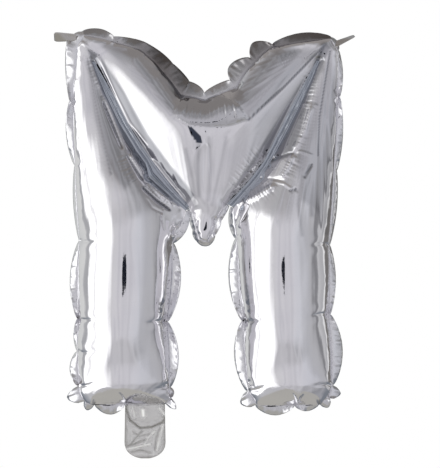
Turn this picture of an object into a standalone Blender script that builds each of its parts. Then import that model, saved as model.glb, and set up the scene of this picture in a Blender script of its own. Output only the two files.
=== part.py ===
# A foil balloon in the shape of the letter M, filled with air: two bulged metallic films sealed to each other
# along a scalloped flange, a hanging tab at each top corner, and a clear filling tail under the left leg.
# Units are metres and +Z is up. The front faces -Y. The origin is the middle of the letter, halfway between
# the two films, and every outline below is in millimetres on the seam plane, as (x, z).

import math
from collections import namedtuple

import bpy
import numpy as np
from mathutils import Vector
from mathutils.geometry import delaunay_2d_cdt

MM = 0.001

# Driving sizes, in millimetres
FILM_THICKNESS = 0.8
FLANGE_THICKNESS = 0.8
FLANGE_LAP = 1.5
RIM_HEIGHT = 1.3
FULLNESS = 0.84
CELL_PITCH = 10.0
CELL_CLEARANCE = 4.5
EDGE_PITCH = 9.0
ON_SEAM = 0.0001
LEAST_SLANT = 0.5
LOBE_STEPS = 7
LOBE_SQUARENESS = 0.7
SMALL_LOBE = 2.0
SMALL_LOBE_STEPS = 2
EAR_LOBE_RISE = 2.2

SLIT_HALF_WIDTH = 3.0
SLIT_TAPER = 0.6
SLIT_MOUTH_MARGIN = 3.0
RIGHT_MOUTH_LOBE = 4.0

# The two diagonals are taut facets, ruled from the letter's top corners. A facet rises from its slit, in the
# direction given here with its corner, and falls again at the notch. The middle between them is almost level.
LEFT_FACET = ((-112, 167), (0.806, 0.592))
RIGHT_FACET = ((112, 164), (-0.848, 0.530))
FACET_SLOPE = 0.47
FACET_LIFT = 0.06
FACET_SOFTNESS = 1.3
SLIT_SLOPE = 0.95
NOTCH_SWELL = 12.6
NOTCH_REACH = 6.0
NOTCH_SLOPE = 0.225
NOTCH_SPAN = 103.0
NOTCH_POWER = 1.2
MIDDLE_HEIGHT = 9.0
MIDDLE_SLOPE = 0.16
MIDDLE_FOOT_Z = 17.4
RIDGE_X = -5.0
RIDGE_SLOPE = 0.12
RIDGE_ROUND = 5.0
FACETS_FROM_Z = 12.0
FACETS_BLEND = 26.0
FACETS_FROM_CORNER = 8.0
FACETS_EDGE_BLEND = 5.0
LEG_FULLNESS = [
    (-160.0, 1.17), (-128.0, 1.0), (-20.0, 0.96), (20.0, 0.82), (60.0, 0.70), (100.0, 0.61), (150.0, 0.50),
]
FOOT_OF_V_FULLNESS = 0.55
FOOT_OF_V_HALF_WIDTH = 26.0
FOOT_OF_V_BOTTOM_Z = -27.0

TAB_LENGTH = 17.0
TAB_ROOT_WIDTH = 9.5
TAB_TIP_WIDTH = 7.5
TAB_CORNER = 2.5
TAB_THICKNESS = 0.8
TAB_HOLE_RADIUS = 2.0
TAB_HOLE_SIDES = 16
TAB_HOLE_FROM_TIP = 5.0
TAB_FOLD_GAP = 0.55
TAB_LAND = 5.0

TAIL_THICKNESS = 0.45
TAIL_FILM_GAP = 0.3
TAIL_FOLD_GAP = 0.75
TAIL_ROOT_GAP = 0.05
TAIL_WIDTH = 35.0
TAIL_FLARE = 2.0
TAIL_BACK_MARGIN = 3.0
TAIL_LENGTH = 50.0
TAIL_ROUND = 17.0
TAIL_ROUND_STEPS = 12
TAIL_NECK = 4.0
TAIL_FLARE_AT = 0.6
TAIL_CENTRE_X = -54.5

# A point where a crease pinches the seam, with the width of the flange there and how much further the
# flange's lobe swells on the way to the next point. The letter's interior lies to the left of the way round.
Station = namedtuple("Station", "x z margin lobe")

EAR_LEFT = Station(-112, 174, 2.0, TAB_LAND)
EAR_RIGHT = Station(126, 160, 2.0, TAB_LAND - 2.0)
TAIL_SEAT = Station(-73, -171, 2.0, 0.0)

LEFT_LEG = [
    EAR_LEFT,
    Station(-118, 161, 2.0, 7.5),
    Station(-123, 112, 1.5, 5.0),
    Station(-120, 52, 1.5, 3.5),
    Station(-116, -19, 1.0, 7.5),
    Station(-117, -92, 1.0, 4.0),
    Station(-118, -123, 1.0, 8.0),
    Station(-116, -155, 1.5, 13.0),
    Station(-111, -169, 2.0, 7.0),
    Station(-102, -172, 1.5, 8.0),
    TAIL_SEAT,
    Station(-36, -171, 2.0, 10.0),
    Station(-31, -166, 1.5, 3.0),
    Station(-32, -157, 1.5, 8.0),
    Station(-34, -95, 1.0, 8.5),
    Station(-31, -21, 1.5, 5.0),
]

LEFT_SLIT = [(-16, 12), (-31, 26), (-44, 38), (-55.5, 62), (-75, 93.5), (-92, 126), (-104, 150)]

VEE = [
    Station(-9, 6, 4.0, 1.0),
    Station(-6, -8, 4.0, 1.5),
    Station(-3, -17, 4.0, 1.5),
    Station(4, -20, 4.0, 1.0),
    Station(8, -12, 4.0, 1.0),
    Station(14, 2, 4.0, 0.5),
]

RIGHT_SLIT = [(23.5, 14.5), (37.5, 25), (52, 37), (62, 61.5), (79, 93.5), (94, 126), (107, 150)]

RIGHT_LEG = [
    Station(32, -17, 1.5, 8.5),
    Station(38, -94, 1.5, 8.5),
    Station(43, -160, 2.0, 11.0),
    Station(50, -172.5, 1.5, 8.0),
    Station(86, -172.5, 1.5, 5.0),
    Station(109, -171.5, 1.5, 7.0),
    Station(118, -166, 1.5, 9.0),
    Station(121, -155, 1.5, 9.5),
    Station(118, -88, 1.5, 4.5),
    Station(118, -23, 1.5, 3.0),
    Station(123, 47, 3.0, 4.0),
    Station(127, 116, 1.5, 3.0),
    EAR_RIGHT,
]

CROWN = [
    Station(120, 171, 2.0, 8.0),
    Station(66, 163, 1.5, 11.0),
    Station(49, 149, 2.0, 12.0),
    Station(31, 125, 4.0, 8.0),
    Station(2, 113, 8.0, 8.0),
    Station(-21, 117, 4.0, 11.0),
    Station(-38, 139, 2.0, 11.0),
    Station(-59, 160, 1.5, 7.0),
    Station(-85, 168, 1.5, 8.0),
]

FOIL = {"color": (0.74, 0.73, 0.76), "metallic": 1.0, "roughness": 0.12, "alpha": 1.0}
FLANGE_FOIL = {"color": (0.68, 0.68, 0.71), "metallic": 1.0, "roughness": 0.2, "alpha": 1.0}
TAB_FOIL = {"color": (0.55, 0.53, 0.52), "metallic": 1.0, "roughness": 0.25, "alpha": 1.0}
CLEAR_FILM = {"color": (0.78, 0.78, 0.76), "metallic": 0.0, "roughness": 0.15, "alpha": 0.5}


def start_collection(name):
    for old in list(bpy.data.objects):
        bpy.data.objects.remove(old, do_unlink=True)
    collection = bpy.data.collections.new(name)
    bpy.context.scene.collection.children.link(collection)
    return collection


def make_material(name, look):
    material = bpy.data.materials.new(name)
    material.use_nodes = True
    shader = material.node_tree.nodes["Principled BSDF"]
    shader.inputs["Base Color"].default_value = (*look["color"], 1.0)
    shader.inputs["Metallic"].default_value = look["metallic"]
    shader.inputs["Roughness"].default_value = look["roughness"]
    shader.inputs["Alpha"].default_value = look["alpha"]
    return material


# Outlines

def left_of(direction):
    return Vector((-direction.y, direction.x))


def neighbours(loop, index):
    before = (loop[index] - loop[index - 1]).normalized()
    after = (loop[(index + 1) % len(loop)] - loop[index]).normalized()
    return before, after


def outward_normal(loop, index):
    before, after = neighbours(loop, index)
    return (-left_of(before) - left_of(after)).normalized()


def slit_stations(centre_line):
    # Up one edge of a slit and down the other. Only the two points at its mouth touch the flange's rim.
    points = [Vector(point) for point in centre_line]
    last = len(points) - 1
    mouth_lobe = RIGHT_MOUTH_LOBE if centre_line is RIGHT_SLIT else 0.0
    up_side = []
    down_side = []
    for index, point in enumerate(points):
        along = (points[min(index + 1, last)] - points[max(index - 1, 0)]).normalized()
        half = SLIT_HALF_WIDTH * (1.0 - SLIT_TAPER * index / last)
        margin = SLIT_MOUTH_MARGIN if index == 0 else None
        left = point + left_of(along) * half
        right = point - left_of(along) * half
        up_side.append(Station(left.x, left.y, margin, 0.0))
        down_side.append(Station(right.x, right.y, margin, mouth_lobe))
    return up_side + down_side[::-1]


def all_stations():
    return LEFT_LEG + slit_stations(LEFT_SLIT) + VEE + slit_stations(RIGHT_SLIT) + RIGHT_LEG + CROWN


def subdivide(loop, pitch):
    result = []
    for start, end in zip(loop, loop[1:] + loop[:1]):
        steps = max(1, round((end - start).length / pitch))
        result += [start.lerp(end, step / steps) for step in range(steps)]
    return result


def seam_loop():
    return subdivide([Vector((station.x, station.z)) for station in all_stations()], EDGE_PITCH)


def flange_inner_loop():
    # The seam line moved inwards, so that the flange reaches a little under the rim of each film.
    seam = seam_loop()
    inner = []
    for index, point in enumerate(seam):
        normal = outward_normal(seam, index)
        slant = max(LEAST_SLANT, normal.dot(-left_of(neighbours(seam, index)[1])))
        inner.append(point - normal * FLANGE_LAP / slant)
    return inner


def lobe_profile(station, share):
    if station in (EAR_LEFT, EAR_RIGHT):
        return min(1.0, EAR_LOBE_RISE * math.sin(math.pi * share))
    return math.sin(math.pi * share) ** LOBE_SQUARENESS


def flange_outer_loop():
    stations = [station for station in all_stations() if station.margin is not None]
    loop = [Vector((station.x, station.z)) for station in stations]
    outer = []
    for index, station in enumerate(stations):
        following = (index + 1) % len(stations)
        start = loop[index]
        end = loop[following]
        straight_out = -left_of((end - start).normalized())
        start_out = outward_normal(loop, index) * station.margin
        end_out = outward_normal(loop, following) * stations[following].margin
        steps = LOBE_STEPS if station.lobe > SMALL_LOBE else SMALL_LOBE_STEPS
        for step in range(steps):
            share = step / steps
            lobe = straight_out * station.lobe * lobe_profile(station, share)
            outer.append(start.lerp(end, share) + start_out.lerp(end_out, share) + lobe)
    return outer


# Solids

def plate(name, loops, thickness, location, look):
    # A flat sheet on the seam plane from closed outlines: the first is its edge and the others are holes.
    curve = bpy.data.curves.new(name, "CURVE")
    curve.dimensions = "2D"
    curve.fill_mode = "BOTH"
    curve.extrude = thickness / 2 * MM
    for loop in loops:
        spline = curve.splines.new("POLY")
        spline.points.add(len(loop) - 1)
        for point, place in zip(spline.points, loop):
            point.co = (place.x * MM, place.y * MM, 0.0, 1.0)
        spline.use_cyclic_u = True
    curve.materials.append(make_material(name, look))
    sheet = bpy.data.objects.new(name, curve)
    sheet.location = [value * MM for value in location]
    sheet.rotation_euler = (math.pi / 2, 0.0, 0.0)
    return sheet


def inside(loop, point):
    crossings = 0
    for start, end in zip(loop, loop[1:] + loop[:1]):
        if (start.y > point.y) != (end.y > point.y):
            reach = start.x + (point.y - start.y) * (end.x - start.x) / (end.y - start.y)
            crossings += reach > point.x
    return crossings % 2 == 1


def distance_to(loop, point):
    nearest = math.inf
    for start, end in zip(loop, loop[1:] + loop[:1]):
        run = end - start
        share = max(0.0, min(1.0, (point - start).dot(run) / run.length_squared))
        nearest = min(nearest, (point - start - run * share).length)
    return nearest


def triangulate(loop):
    # The seam's points first, then a honeycomb of points inside it.
    points = list(loop)
    row_pitch = CELL_PITCH * math.sqrt(3) / 2
    low_x = min(point.x for point in loop)
    low_z = min(point.y for point in loop)
    rows = int((max(point.y for point in loop) - low_z) / row_pitch) + 1
    columns = int((max(point.x for point in loop) - low_x) / CELL_PITCH) + 1
    for row in range(rows):
        for column in range(columns):
            x = low_x + (column + 0.5 * (row % 2)) * CELL_PITCH
            point = Vector((x, low_z + row * row_pitch))
            if inside(loop, point) and distance_to(loop, point) > CELL_CLEARANCE:
                points.append(point)
    edges = [(index, (index + 1) % len(loop)) for index in range(len(loop))]
    flat, _, faces, _, _, _ = delaunay_2d_cdt(points, edges, [], 0, 1e-6)
    faces = [face for face in faces if inside(loop, sum((flat[i] for i in face), Vector((0, 0))) / 3)]
    return flat, faces


def bulge_heights(flat, faces, on_seam):
    # An air-filled limb has a round section. Its height is the square root of 2u, where the Laplacian of u is
    # -1 over the letter and u is 0 on the seam, so two limbs also blend smoothly where they meet.
    count = len(flat)
    stiffness = np.zeros((count, count))
    load = np.zeros(count)
    for face in faces:
        corners = [flat[index] for index in face]
        area = abs((corners[1] - corners[0]).cross(corners[2] - corners[0])) / 2
        for turn in range(3):
            first, second, third = (face[(turn + step) % 3] for step in range(3))
            edge_one = flat[first] - flat[third]
            edge_two = flat[second] - flat[third]
            weight = edge_one.dot(edge_two) / (4 * area)
            stiffness[first, second] -= weight
            stiffness[second, first] -= weight
            stiffness[first, first] += weight
            stiffness[second, second] += weight
            load[first] += area / 3
    free = [index for index in range(count) if not on_seam[index]]
    heights = np.zeros(count)
    heights[free] = np.linalg.solve(stiffness[np.ix_(free, free)], load[free])
    return FULLNESS * np.sqrt(2.0 * np.clip(heights, 0.0, None))


def eased(share):
    share = max(0.0, min(1.0, share))
    return share * share * (3.0 - 2.0 * share)


def leftward_distance(path, point):
    # How far the point lies to the left of an open path, negative on its right.
    nearest = math.inf
    result = 0.0
    for start, end in zip(path, path[1:]):
        start = Vector(start)
        run = Vector(end) - start
        offset = point - start
        share = max(0.0, min(1.0, offset.dot(run) / run.length_squared))
        gap = (offset - run * share).length
        if gap < nearest:
            nearest = gap
            result = math.copysign(gap, run.cross(offset))
    return result


def crown_height(point, to_notch, to_slit):
    # The soft minimum of the facets, the middle, the fall to the notch and the rise from the nearer slit.
    spans = []
    levels = []
    for corner, rise in (LEFT_FACET, RIGHT_FACET):
        offset = point - Vector(corner)
        spans.append(offset.length)
        levels.append(FACET_LIFT * offset.length + FACET_SLOPE * offset.dot(Vector(rise)))
    from_ridge = math.hypot(point.x - RIDGE_X, RIDGE_ROUND) - RIDGE_ROUND
    levels.append(MIDDLE_HEIGHT + MIDDLE_SLOPE * (point.y - MIDDLE_FOOT_Z) - RIDGE_SLOPE * from_ridge)
    swell = NOTCH_SWELL * (1.0 - math.exp(-to_notch / NOTCH_REACH)) + NOTCH_SLOPE * to_notch
    levels.append(swell * min(1.0, min(spans) / NOTCH_SPAN) ** NOTCH_POWER)
    levels.append(SLIT_SLOPE * to_slit)
    low = min(levels)
    crowding = sum(math.exp((low - level) / FACET_SOFTNESS) for level in levels)
    return max(0.0, low - FACET_SOFTNESS * math.log(crowding))


def crown_share(point, to_notch, from_left_slit, from_right_slit):
    # 1 in the crown and 0 in the legs. It eases over near the slits, the corners and the seam of the notch.
    nearer_corner = min((point - Vector(corner)).length for corner, _ in (LEFT_FACET, RIGHT_FACET))
    share = eased((point.y - FACETS_FROM_Z) / FACETS_BLEND)
    share *= eased((nearer_corner - FACETS_FROM_CORNER) / FACETS_BLEND)
    for distance in (to_notch, from_left_slit, from_right_slit):
        share *= eased(distance / FACETS_EDGE_BLEND)
    return share


def fullness(point, from_left_slit, from_right_slit):
    # How much of a plain membrane's height the film keeps. The limbs are slimmer the nearer they are to the
    # corners, the foot of the V is drawn in, and the ends of the legs are blown out.
    if point.y > FOOT_OF_V_BOTTOM_Z and abs(point.x) < FOOT_OF_V_HALF_WIDTH:
        return FOOT_OF_V_FULLNESS
    if point.y > FACETS_FROM_Z and min(from_left_slit, from_right_slit) > 0.0:
        return FOOT_OF_V_FULLNESS
    for (low_z, low_share), (high_z, high_share) in zip(LEG_FULLNESS, LEG_FULLNESS[1:]):
        if point.y < high_z:
            return low_share + (high_share - low_share) * max(0.0, (point.y - low_z) / (high_z - low_z))
    return LEG_FULLNESS[-1][1]


def shaped_heights(flat, on_seam, heights):
    # The limbs keep their round section, and the crown takes its facets.
    notch = [(station.x, station.z) for station in CROWN + [EAR_LEFT]]
    left_line = LEFT_SLIT + [LEFT_FACET[0]]
    right_line = RIGHT_SLIT + [RIGHT_FACET[0]]
    shaped = []
    for point, fixed, bulge in zip(flat, on_seam, heights):
        if fixed:
            shaped.append(bulge)
            continue
        from_left_slit = -leftward_distance(left_line, point)
        from_right_slit = leftward_distance(right_line, point)
        to_notch = abs(leftward_distance(notch, point))
        to_slit = max(0.0, min(abs(from_left_slit), abs(from_right_slit)) - SLIT_HALF_WIDTH)
        height = crown_height(point, to_notch, to_slit)
        share = crown_share(point, to_notch, from_left_slit, from_right_slit)
        bulge *= fullness(point, from_left_slit, from_right_slit)
        shaped.append(bulge * (1.0 - share) + height * share)
    return shaped


def bulged_film(name, side, flat, faces, heights):
    # side is -1 for the front film and +1 for the back one.
    mesh = bpy.data.meshes.new(name)
    places = [(p.x * MM, side * (RIM_HEIGHT + height) * MM, p.y * MM) for p, height in zip(flat, heights)]
    turned = faces if side < 0 else [tuple(reversed(face)) for face in faces]
    mesh.from_pydata(places, [], turned)
    mesh.shade_smooth()
    mesh.materials.append(make_material(name, FOIL))
    film = bpy.data.objects.new(name, mesh)
    solidify = film.modifiers.new("film", "SOLIDIFY")
    solidify.thickness = FILM_THICKNESS * MM
    solidify.offset = -1.0
    return film


def films():
    loop = seam_loop()
    flat, faces = triangulate(loop)
    on_seam = [distance_to(loop, point) < ON_SEAM for point in flat]
    heights = shaped_heights(flat, on_seam, bulge_heights(flat, faces, on_seam))
    front = bulged_film("front_panel", -1, flat, faces, heights)
    back = bulged_film("back_panel", 1, flat, faces, heights)
    return [front, back]


def seam_flange():
    loops = [flange_outer_loop(), flange_inner_loop()]
    return plate("seam_flange", loops, FLANGE_THICKNESS, (0, 0, 0), FLANGE_FOIL)


def round_corner(centre, start_degrees, end_degrees, radius, steps=4):
    turn = math.radians(end_degrees - start_degrees) / steps
    angles = [math.radians(start_degrees) + turn * step for step in range(steps + 1)]
    return [Vector((centre[0] + radius * math.cos(a), centre[1] + radius * math.sin(a))) for a in angles]


def tab(name, station, following):
    # An ear beyond the flat land of the flange, with its fold line on the object's origin.
    start = Vector((station.x, station.z))
    end = Vector((following.x, following.z))
    out = -left_of((end - start).normalized())
    across = left_of(out)
    fold = start.lerp(end, 0.5) + out * (station.margin + station.lobe + TAB_FOLD_GAP)
    half_root = TAB_ROOT_WIDTH / 2
    half_tip = TAB_TIP_WIDTH / 2
    edge = [Vector((0.1, half_root)), Vector((0.1, -half_root))]
    edge += round_corner((TAB_LENGTH - TAB_CORNER, TAB_CORNER - half_tip), -90, 0, TAB_CORNER)
    edge += round_corner((TAB_LENGTH - TAB_CORNER, half_tip - TAB_CORNER), 0, 90, TAB_CORNER)
    last_side = 360.0 * (TAB_HOLE_SIDES - 1) / TAB_HOLE_SIDES
    hole_centre = (TAB_LENGTH - TAB_HOLE_FROM_TIP, 0.0)
    hole = round_corner(hole_centre, 0, last_side, TAB_HOLE_RADIUS, TAB_HOLE_SIDES - 1)
    loops = [[out * point.x + across * point.y for point in loop] for loop in (edge, hole)]
    return plate(name, loops, TAB_THICKNESS, (fold.x, 0, fold.y), TAB_FOIL)


def tail_film(name, side, extra):
    # One clear film of the filling tail, its fold line on the object's origin. extra widens its right edge.
    fold_z = TAIL_SEAT.z - TAIL_SEAT.margin - TAIL_FOLD_GAP
    half = TAIL_WIDTH / 2
    wide = half + TAIL_FLARE
    straight = TAIL_LENGTH - TAIL_ROUND
    flare_z = -straight * TAIL_FLARE_AT
    edge = [Vector((-half, -TAIL_ROOT_GAP)), Vector((-half, -TAIL_NECK)), Vector((-wide, flare_z))]
    for step in range(TAIL_ROUND_STEPS + 1):
        share = step / TAIL_ROUND_STEPS
        angle = math.pi * (1.0 + share)
        reach = wide + extra * min(1.0, 2.0 * share)
        edge.append(Vector((reach * math.cos(angle), -straight + TAIL_ROUND * math.sin(angle))))
    edge += [Vector((wide + extra, flare_z)), Vector((half, -TAIL_NECK)), Vector((half, -TAIL_ROOT_GAP))]
    offset = side * (TAIL_FILM_GAP + TAIL_THICKNESS) / 2
    return plate(name, [edge], TAIL_THICKNESS, (TAIL_CENTRE_X, offset, fold_z), CLEAR_FILM)


def main():
    collection = start_collection("foil_letter_balloon")
    pieces = films()
    pieces.append(seam_flange())
    pieces.append(tab("hanging_tab_left", EAR_LEFT, LEFT_LEG[1]))
    pieces.append(tab("hanging_tab_right", EAR_RIGHT, CROWN[0]))
    pieces.append(tail_film("tail_film_front", -1, 0.0))
    pieces.append(tail_film("tail_film_back", 1, TAIL_BACK_MARGIN))
    for piece in pieces:
        collection.objects.link(piece)


main()
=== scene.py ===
import math
import bpy
import numpy as np
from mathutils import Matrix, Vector
from mathutils.geometry import delaunay_2d_cdt


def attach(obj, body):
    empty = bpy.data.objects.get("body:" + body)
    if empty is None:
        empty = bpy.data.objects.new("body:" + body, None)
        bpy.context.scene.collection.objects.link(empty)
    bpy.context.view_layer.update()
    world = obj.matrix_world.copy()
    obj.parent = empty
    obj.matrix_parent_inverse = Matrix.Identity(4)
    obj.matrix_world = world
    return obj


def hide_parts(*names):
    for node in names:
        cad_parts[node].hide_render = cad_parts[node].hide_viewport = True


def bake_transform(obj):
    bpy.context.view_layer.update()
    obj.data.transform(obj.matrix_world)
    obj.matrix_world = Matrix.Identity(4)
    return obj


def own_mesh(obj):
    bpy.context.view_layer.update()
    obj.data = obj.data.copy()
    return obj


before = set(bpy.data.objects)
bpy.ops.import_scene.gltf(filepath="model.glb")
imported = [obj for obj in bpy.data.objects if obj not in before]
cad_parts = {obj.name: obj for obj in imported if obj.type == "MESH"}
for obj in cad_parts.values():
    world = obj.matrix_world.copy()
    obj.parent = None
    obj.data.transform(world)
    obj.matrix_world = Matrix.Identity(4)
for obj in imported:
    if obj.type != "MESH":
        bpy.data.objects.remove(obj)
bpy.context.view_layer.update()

mm = 0.001


def leftOf(d):
    return np.stack([-d[..., 1], d[..., 0]], axis=-1)


def unit(v):
    return v / np.maximum(np.linalg.norm(v, axis=-1, keepdims=True), 1e-9)


def headings(path):
    # the direction from each point of a path to the next
    return unit(np.roll(path, -1, axis=0) - path)


def cross(a, b):
    return a[:, 0] * b[:, 1] - a[:, 1] * b[:, 0]


def bell(a, b=0):
    return np.exp(-a ** 2 - b ** 2)


def eased(x):
    x = np.clip(x, 0, 1)
    return x * x * (3 - 2 * x)


def below(z, start, over):
    # 0 down to the height start, then growing to 1 over that many mm
    return np.clip((start - z) / over, 0, 1)


def slitEdge(*points):
    # pinches inside a slit, where there is no flange: x, z, how much film the crease takes up
    return [(x, z, None, 0, 0, crease, 1) for x, z, crease in points]


# Every outline is in millimetres on the seam plane, x to the right and z up, the same frame as the CAD.
# A pinch is a point where the film gathers into a crease at the seam:
#   x, z, flange width there, how far the flange's lobe swells on the way to the next pinch,
#   how far the seam bows out on the way, how much film the crease takes up, which way the flange folds
# The letter's inside lies to the left of the way round.
leftLeg = [
    (-112, 174, 4.5, 4.5, 0, 2, 1), (-118, 161, 11, 2.5, 0, 1.5, 1), (-123, 112, 2, 5.5, 0.5, 2, -1),
    (-120, 52, 1, 3, 0.5, 2, 1), (-116, -19, 0.8, 6.5, 1.5, 3.5, 1), (-117, -92, 1, 3, 0.5, 3.5, -1),
    (-118, -123, 0.8, 7, 0.5, 3, 1), (-116, -155, 1.5, 13, 1, 5, -1), (-111, -169, 2, 7, 0, 4, 1),
    (-102, -172, 1.5, 8, 1.5, 6, 1), (-73, -171, 2, 0, 1, 6, -1), (-36, -171, 2, 10, 0, 5.5, 1),
    (-31, -166, 1.5, 3, 0, 3, -1), (-32, -157, 1.5, 8, 1, 4, 1), (-34, -95, 1, 8, 1.5, 4.5, -1),
    (-29, -21, 1.5, 5, 0.5, 4.5, 1),
]
leftSlit = [
    (-16, 9, 3, 0, 0, 0, 1),
    *slitEdge(
        (-33, 23, 1.5), (-51.5, 40, 3.5), (-54.5, 53, 0), (-63, 64.5, 3.5), (-79, 91.5, 0), (-92, 119, 2.5),
        (-104.3, 150, 0), (-102.3, 150, 0), (-82.5, 115.5, 0), (-70.5, 91, 0), (-55.5, 67, 3.5),
        (-44, 50.5, 1.5), (-29, 30.5, 1.5),
    ),
    (-13.5, 13.5, 3, 0, 0, 0, 1),
]
vee = [
    (-9, 6, 4, 1, 0, 1.5, 1), (-6, -8, 4, 1.5, 0, 2, 1), (-3, -17, 4, 1.5, 0, 1, 1),
    (4, -20, 4, 1, 0, 2.5, 1), (8, -12, 4, 1, 0, 2, -1), (14, 2, 4, 0.5, 0, 1.5, -1),
]
rightSlit = [
    (22.5, 15.5, 3, 0, 0, 0, 1),
    *slitEdge(
        (41.5, 36, 1.5), (57.3, 56, 3.5), (69.5, 80.5, 0), (82.7, 106.7, 2.5), (95, 129.5, 0),
        (107.3, 151, 0), (109.7, 150.5, 0), (101, 129.5, 0), (91, 107.5, 3.5), (78, 82.5, 1.5), (65, 58, 4),
        (53.5, 40, 3.5),
    ),
    (29, 12, 3, 4, 0, 0, 1),
]
rightLeg = [
    (32, -17, 1.5, 8, 1.5, 4, 1), (38, -94, 1.5, 8, 1.5, 4.5, -1), (43, -160, 2, 11, 0, 5.5, 1),
    (50, -172.5, 1.5, 8, 1.5, 5, 1), (86, -172.5, 1.5, 5, 1, 6, -1), (109, -171.5, 1.5, 7, 0, 5, 1),
    (118, -166, 1.5, 9, 0, 3, -1), (121, -155, 1.5, 9.5, 1, 5, 1), (118, -88, 1.5, 4.5, 1, 3.5, -1),
    (118, -23, 1.5, 3, 0.5, 3, 1), (123, 47, 3, 4, 0.5, 0, 1), (127, 116, 1.5, 3, 0.5, 2, -1),
    (126, 160, 2, 3, 0, 1.5, 1),
]
crown = [
    (120, 171, 2, 7, 0.5, 2, 1), (66, 163, 2.5, 10.5, 1, 3, -1), (49, 149, 6, 9, 1, 3, 1),
    (31, 125, 9, 1.5, 0.5, 3.5, 1), (2, 113, 7, 3, 0.5, 1, -1), (-21, 117, 14.5, 1.2, 0.5, 3.5, 1),
    (-38, 139, 13, 1, 1, 3, -1), (-59, 160, 9, 1, 0.5, 2.5, 1), (-85, 168, 5, 4.5, 0.5, 2.5, -1),
]
allPinches = leftLeg + leftSlit + vee + rightSlit + rightLeg + crown
slitPoints = {p[:2] for p in leftSlit + rightSlit}
flaps, lobes, bows, creases, turns = list(zip(*allPinches))[2:]
seamCorners = np.array([p[:2] for p in allPinches], float)
seamRuns = headings(seamCorners)
pinchRuns = unit(np.roll(seamRuns, 1, axis=0) + seamRuns)     # the seam's direction at each pinch

# Tucks are lines where the film is drawn in like a tendon, so that it puffs up on both sides: how long the
# film is along the line, 1 being its length on the seam plane, how wide the line is in mm, how much spare
# film there is across it, then its points. The last four keep the edges along the slits taut.
tucks = [
    (1, 3, 0.2, [(-76, 67), (-70.5, 54), (-62, 40)]),
    (1, 3, 0.2, [(-58, 33.5), (-47, 21), (-32, 9)]),
    (1.1, 12, 0, [(1, 108), (1, 60), (2, 10)]),
    (1, 6, 0, [(-67, 65), (-82, 93), (-96, 121), (-109, 153)]),
    (1, 6, 0, [(-51, 68), (-66, 92), (-78, 117), (-98, 152)]),
    (1, 6, 0, [(66, 82), (79, 108), (91, 131), (104, 152)]),
    (1, 6, 0, [(83, 82), (95, 107), (105, 130), (114, 151)]),
]

filmShape = {
    "coarsePitch": 4.4,      # mesh pitch at first, mm; it is halved twice
    "acrossGrowth": 0.40,    # how much more film there is across a limb than its filled width
    "legsFrom": (100, 160),  # z below which that growth turns into the legs' own, and over how many mm
    "crownEase": 0.70,       # what there is of it in the diagonals
    "middleEase": 0.55,      # how much of it is missing where the diagonals meet
    "middle": (2, 65, 34, 42),    # x, z and half widths of that place
    "limbRounds": 16,        # how far the directions of the limbs are evened out
    "endGrowth": 0.22,       # more length near the ends of the legs, so that they stay full
    "endReach": 20.0,
    "foot": -171,
    "seamGather": 0.018,     # extra film along the seam, fading inwards
    "seamGatherReach": 14.0,
    "seamGatherFrom": (60, 60),   # it grows below this z over so many mm, from a share of it in the crown
    "seamGatherCrown": 0.2,
    "creaseWidth": 2.6,
    "creaseReach": 24.0,
    "slitCreaseReach": 13.0,
    "fullness": 0.84,        # height at the start, and how uneven it is there, mm
    "unevenness": 0.15,
    "coarseSteps": 500,
    "fineSteps": 420,
    "quickSteps": 150,
    "coarsePressure": 0.008,
    "finePressure": 0.004,
    "drag": 0.96,            # the share of its movement that the film keeps
    "airEvery": 3,           # steps between two looks at which way the film faces
    "compression": 0.45,
    "bending": 0.10,
    "calmFrom": 1.5,         # the film is combed smooth along the limbs from this far inside the seam, mm
    "calmReach": 17.0,
    "calmRounds": 190,
    "calmPull": 0.6,
    "calmAside": 0.02,       # how much it is also evened out across the limbs
    "legTaper": 0.07,        # how much lower the legs are made afterwards, from this z down
    "taperFrom": (-72, 60),
    "endFill": 0.36,         # and how much higher at the ends
    "fillFrom": (-120, 35),
}


def seamPoints(pitch):
    # the seam as closely spaced points, with the pinch each one follows and how far along it is
    points, owner, share = [], [], []
    for i, (start, end) in enumerate(zip(seamCorners, np.roll(seamCorners, -1, axis=0))):
        run = end - start
        steps = max(1, int(round(np.linalg.norm(run) / pitch)))
        for k in range(steps):
            t = k / steps
            points.append(start + run * t - leftOf(seamRuns[i]) * bows[i] * math.sin(math.pi * t))
            owner.append(i)
            share.append(t)
    return np.array(points), np.array(owner), np.array(share)


def insideLoop(loop, points):
    # even-odd rule, all points at once
    loop = np.asarray(loop, float)
    result = np.zeros(len(points), bool)
    for a, b in zip(loop, np.roll(loop, -1, axis=0)):
        crosses = (a[1] > points[:, 1]) != (b[1] > points[:, 1])
        with np.errstate(divide="ignore", invalid="ignore"):
            reach = a[0] + (points[:, 1] - a[1]) * (b[0] - a[0]) / (b[1] - a[1])
        result ^= crosses & (points[:, 0] < reach)
    return result


def nearestOn(path, points, closed=False, slack=0):
    # For each point: how far it is from the path, which stretch of the path is nearest, and how far along
    # that stretch. Of two that are as near it takes the first, or with a little slack the later one.
    path = np.asarray(path, float)
    nearest = np.full(len(points), 1e9)
    stretch = np.zeros(len(points), int)
    share = np.zeros(len(points))
    for k, (a, b) in enumerate(zip(path, np.roll(path, -1, axis=0) if closed else path[1:])):
        run = b - a
        t = np.clip(((points - a) @ run) / (run @ run), 0, 1)
        gap = np.linalg.norm(points - a - t[:, None] * run, axis=1)
        closer = gap < nearest + slack
        nearest[closer] = gap[closer]
        stretch[closer] = k
        share[closer] = t[closer]
    return nearest, stretch, share


def distanceTo(path, points, closed=False):
    return nearestOn(path, points, closed)[0]


def leftDistance(path, points):
    # how far each point is to the left of an open path, negative on its right
    path = np.asarray(path, float)
    gap, stretch, _ = nearestOn(path, points)
    return np.copysign(gap, cross((np.roll(path, -1, axis=0) - path)[stretch], points - path[stretch]))


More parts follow.
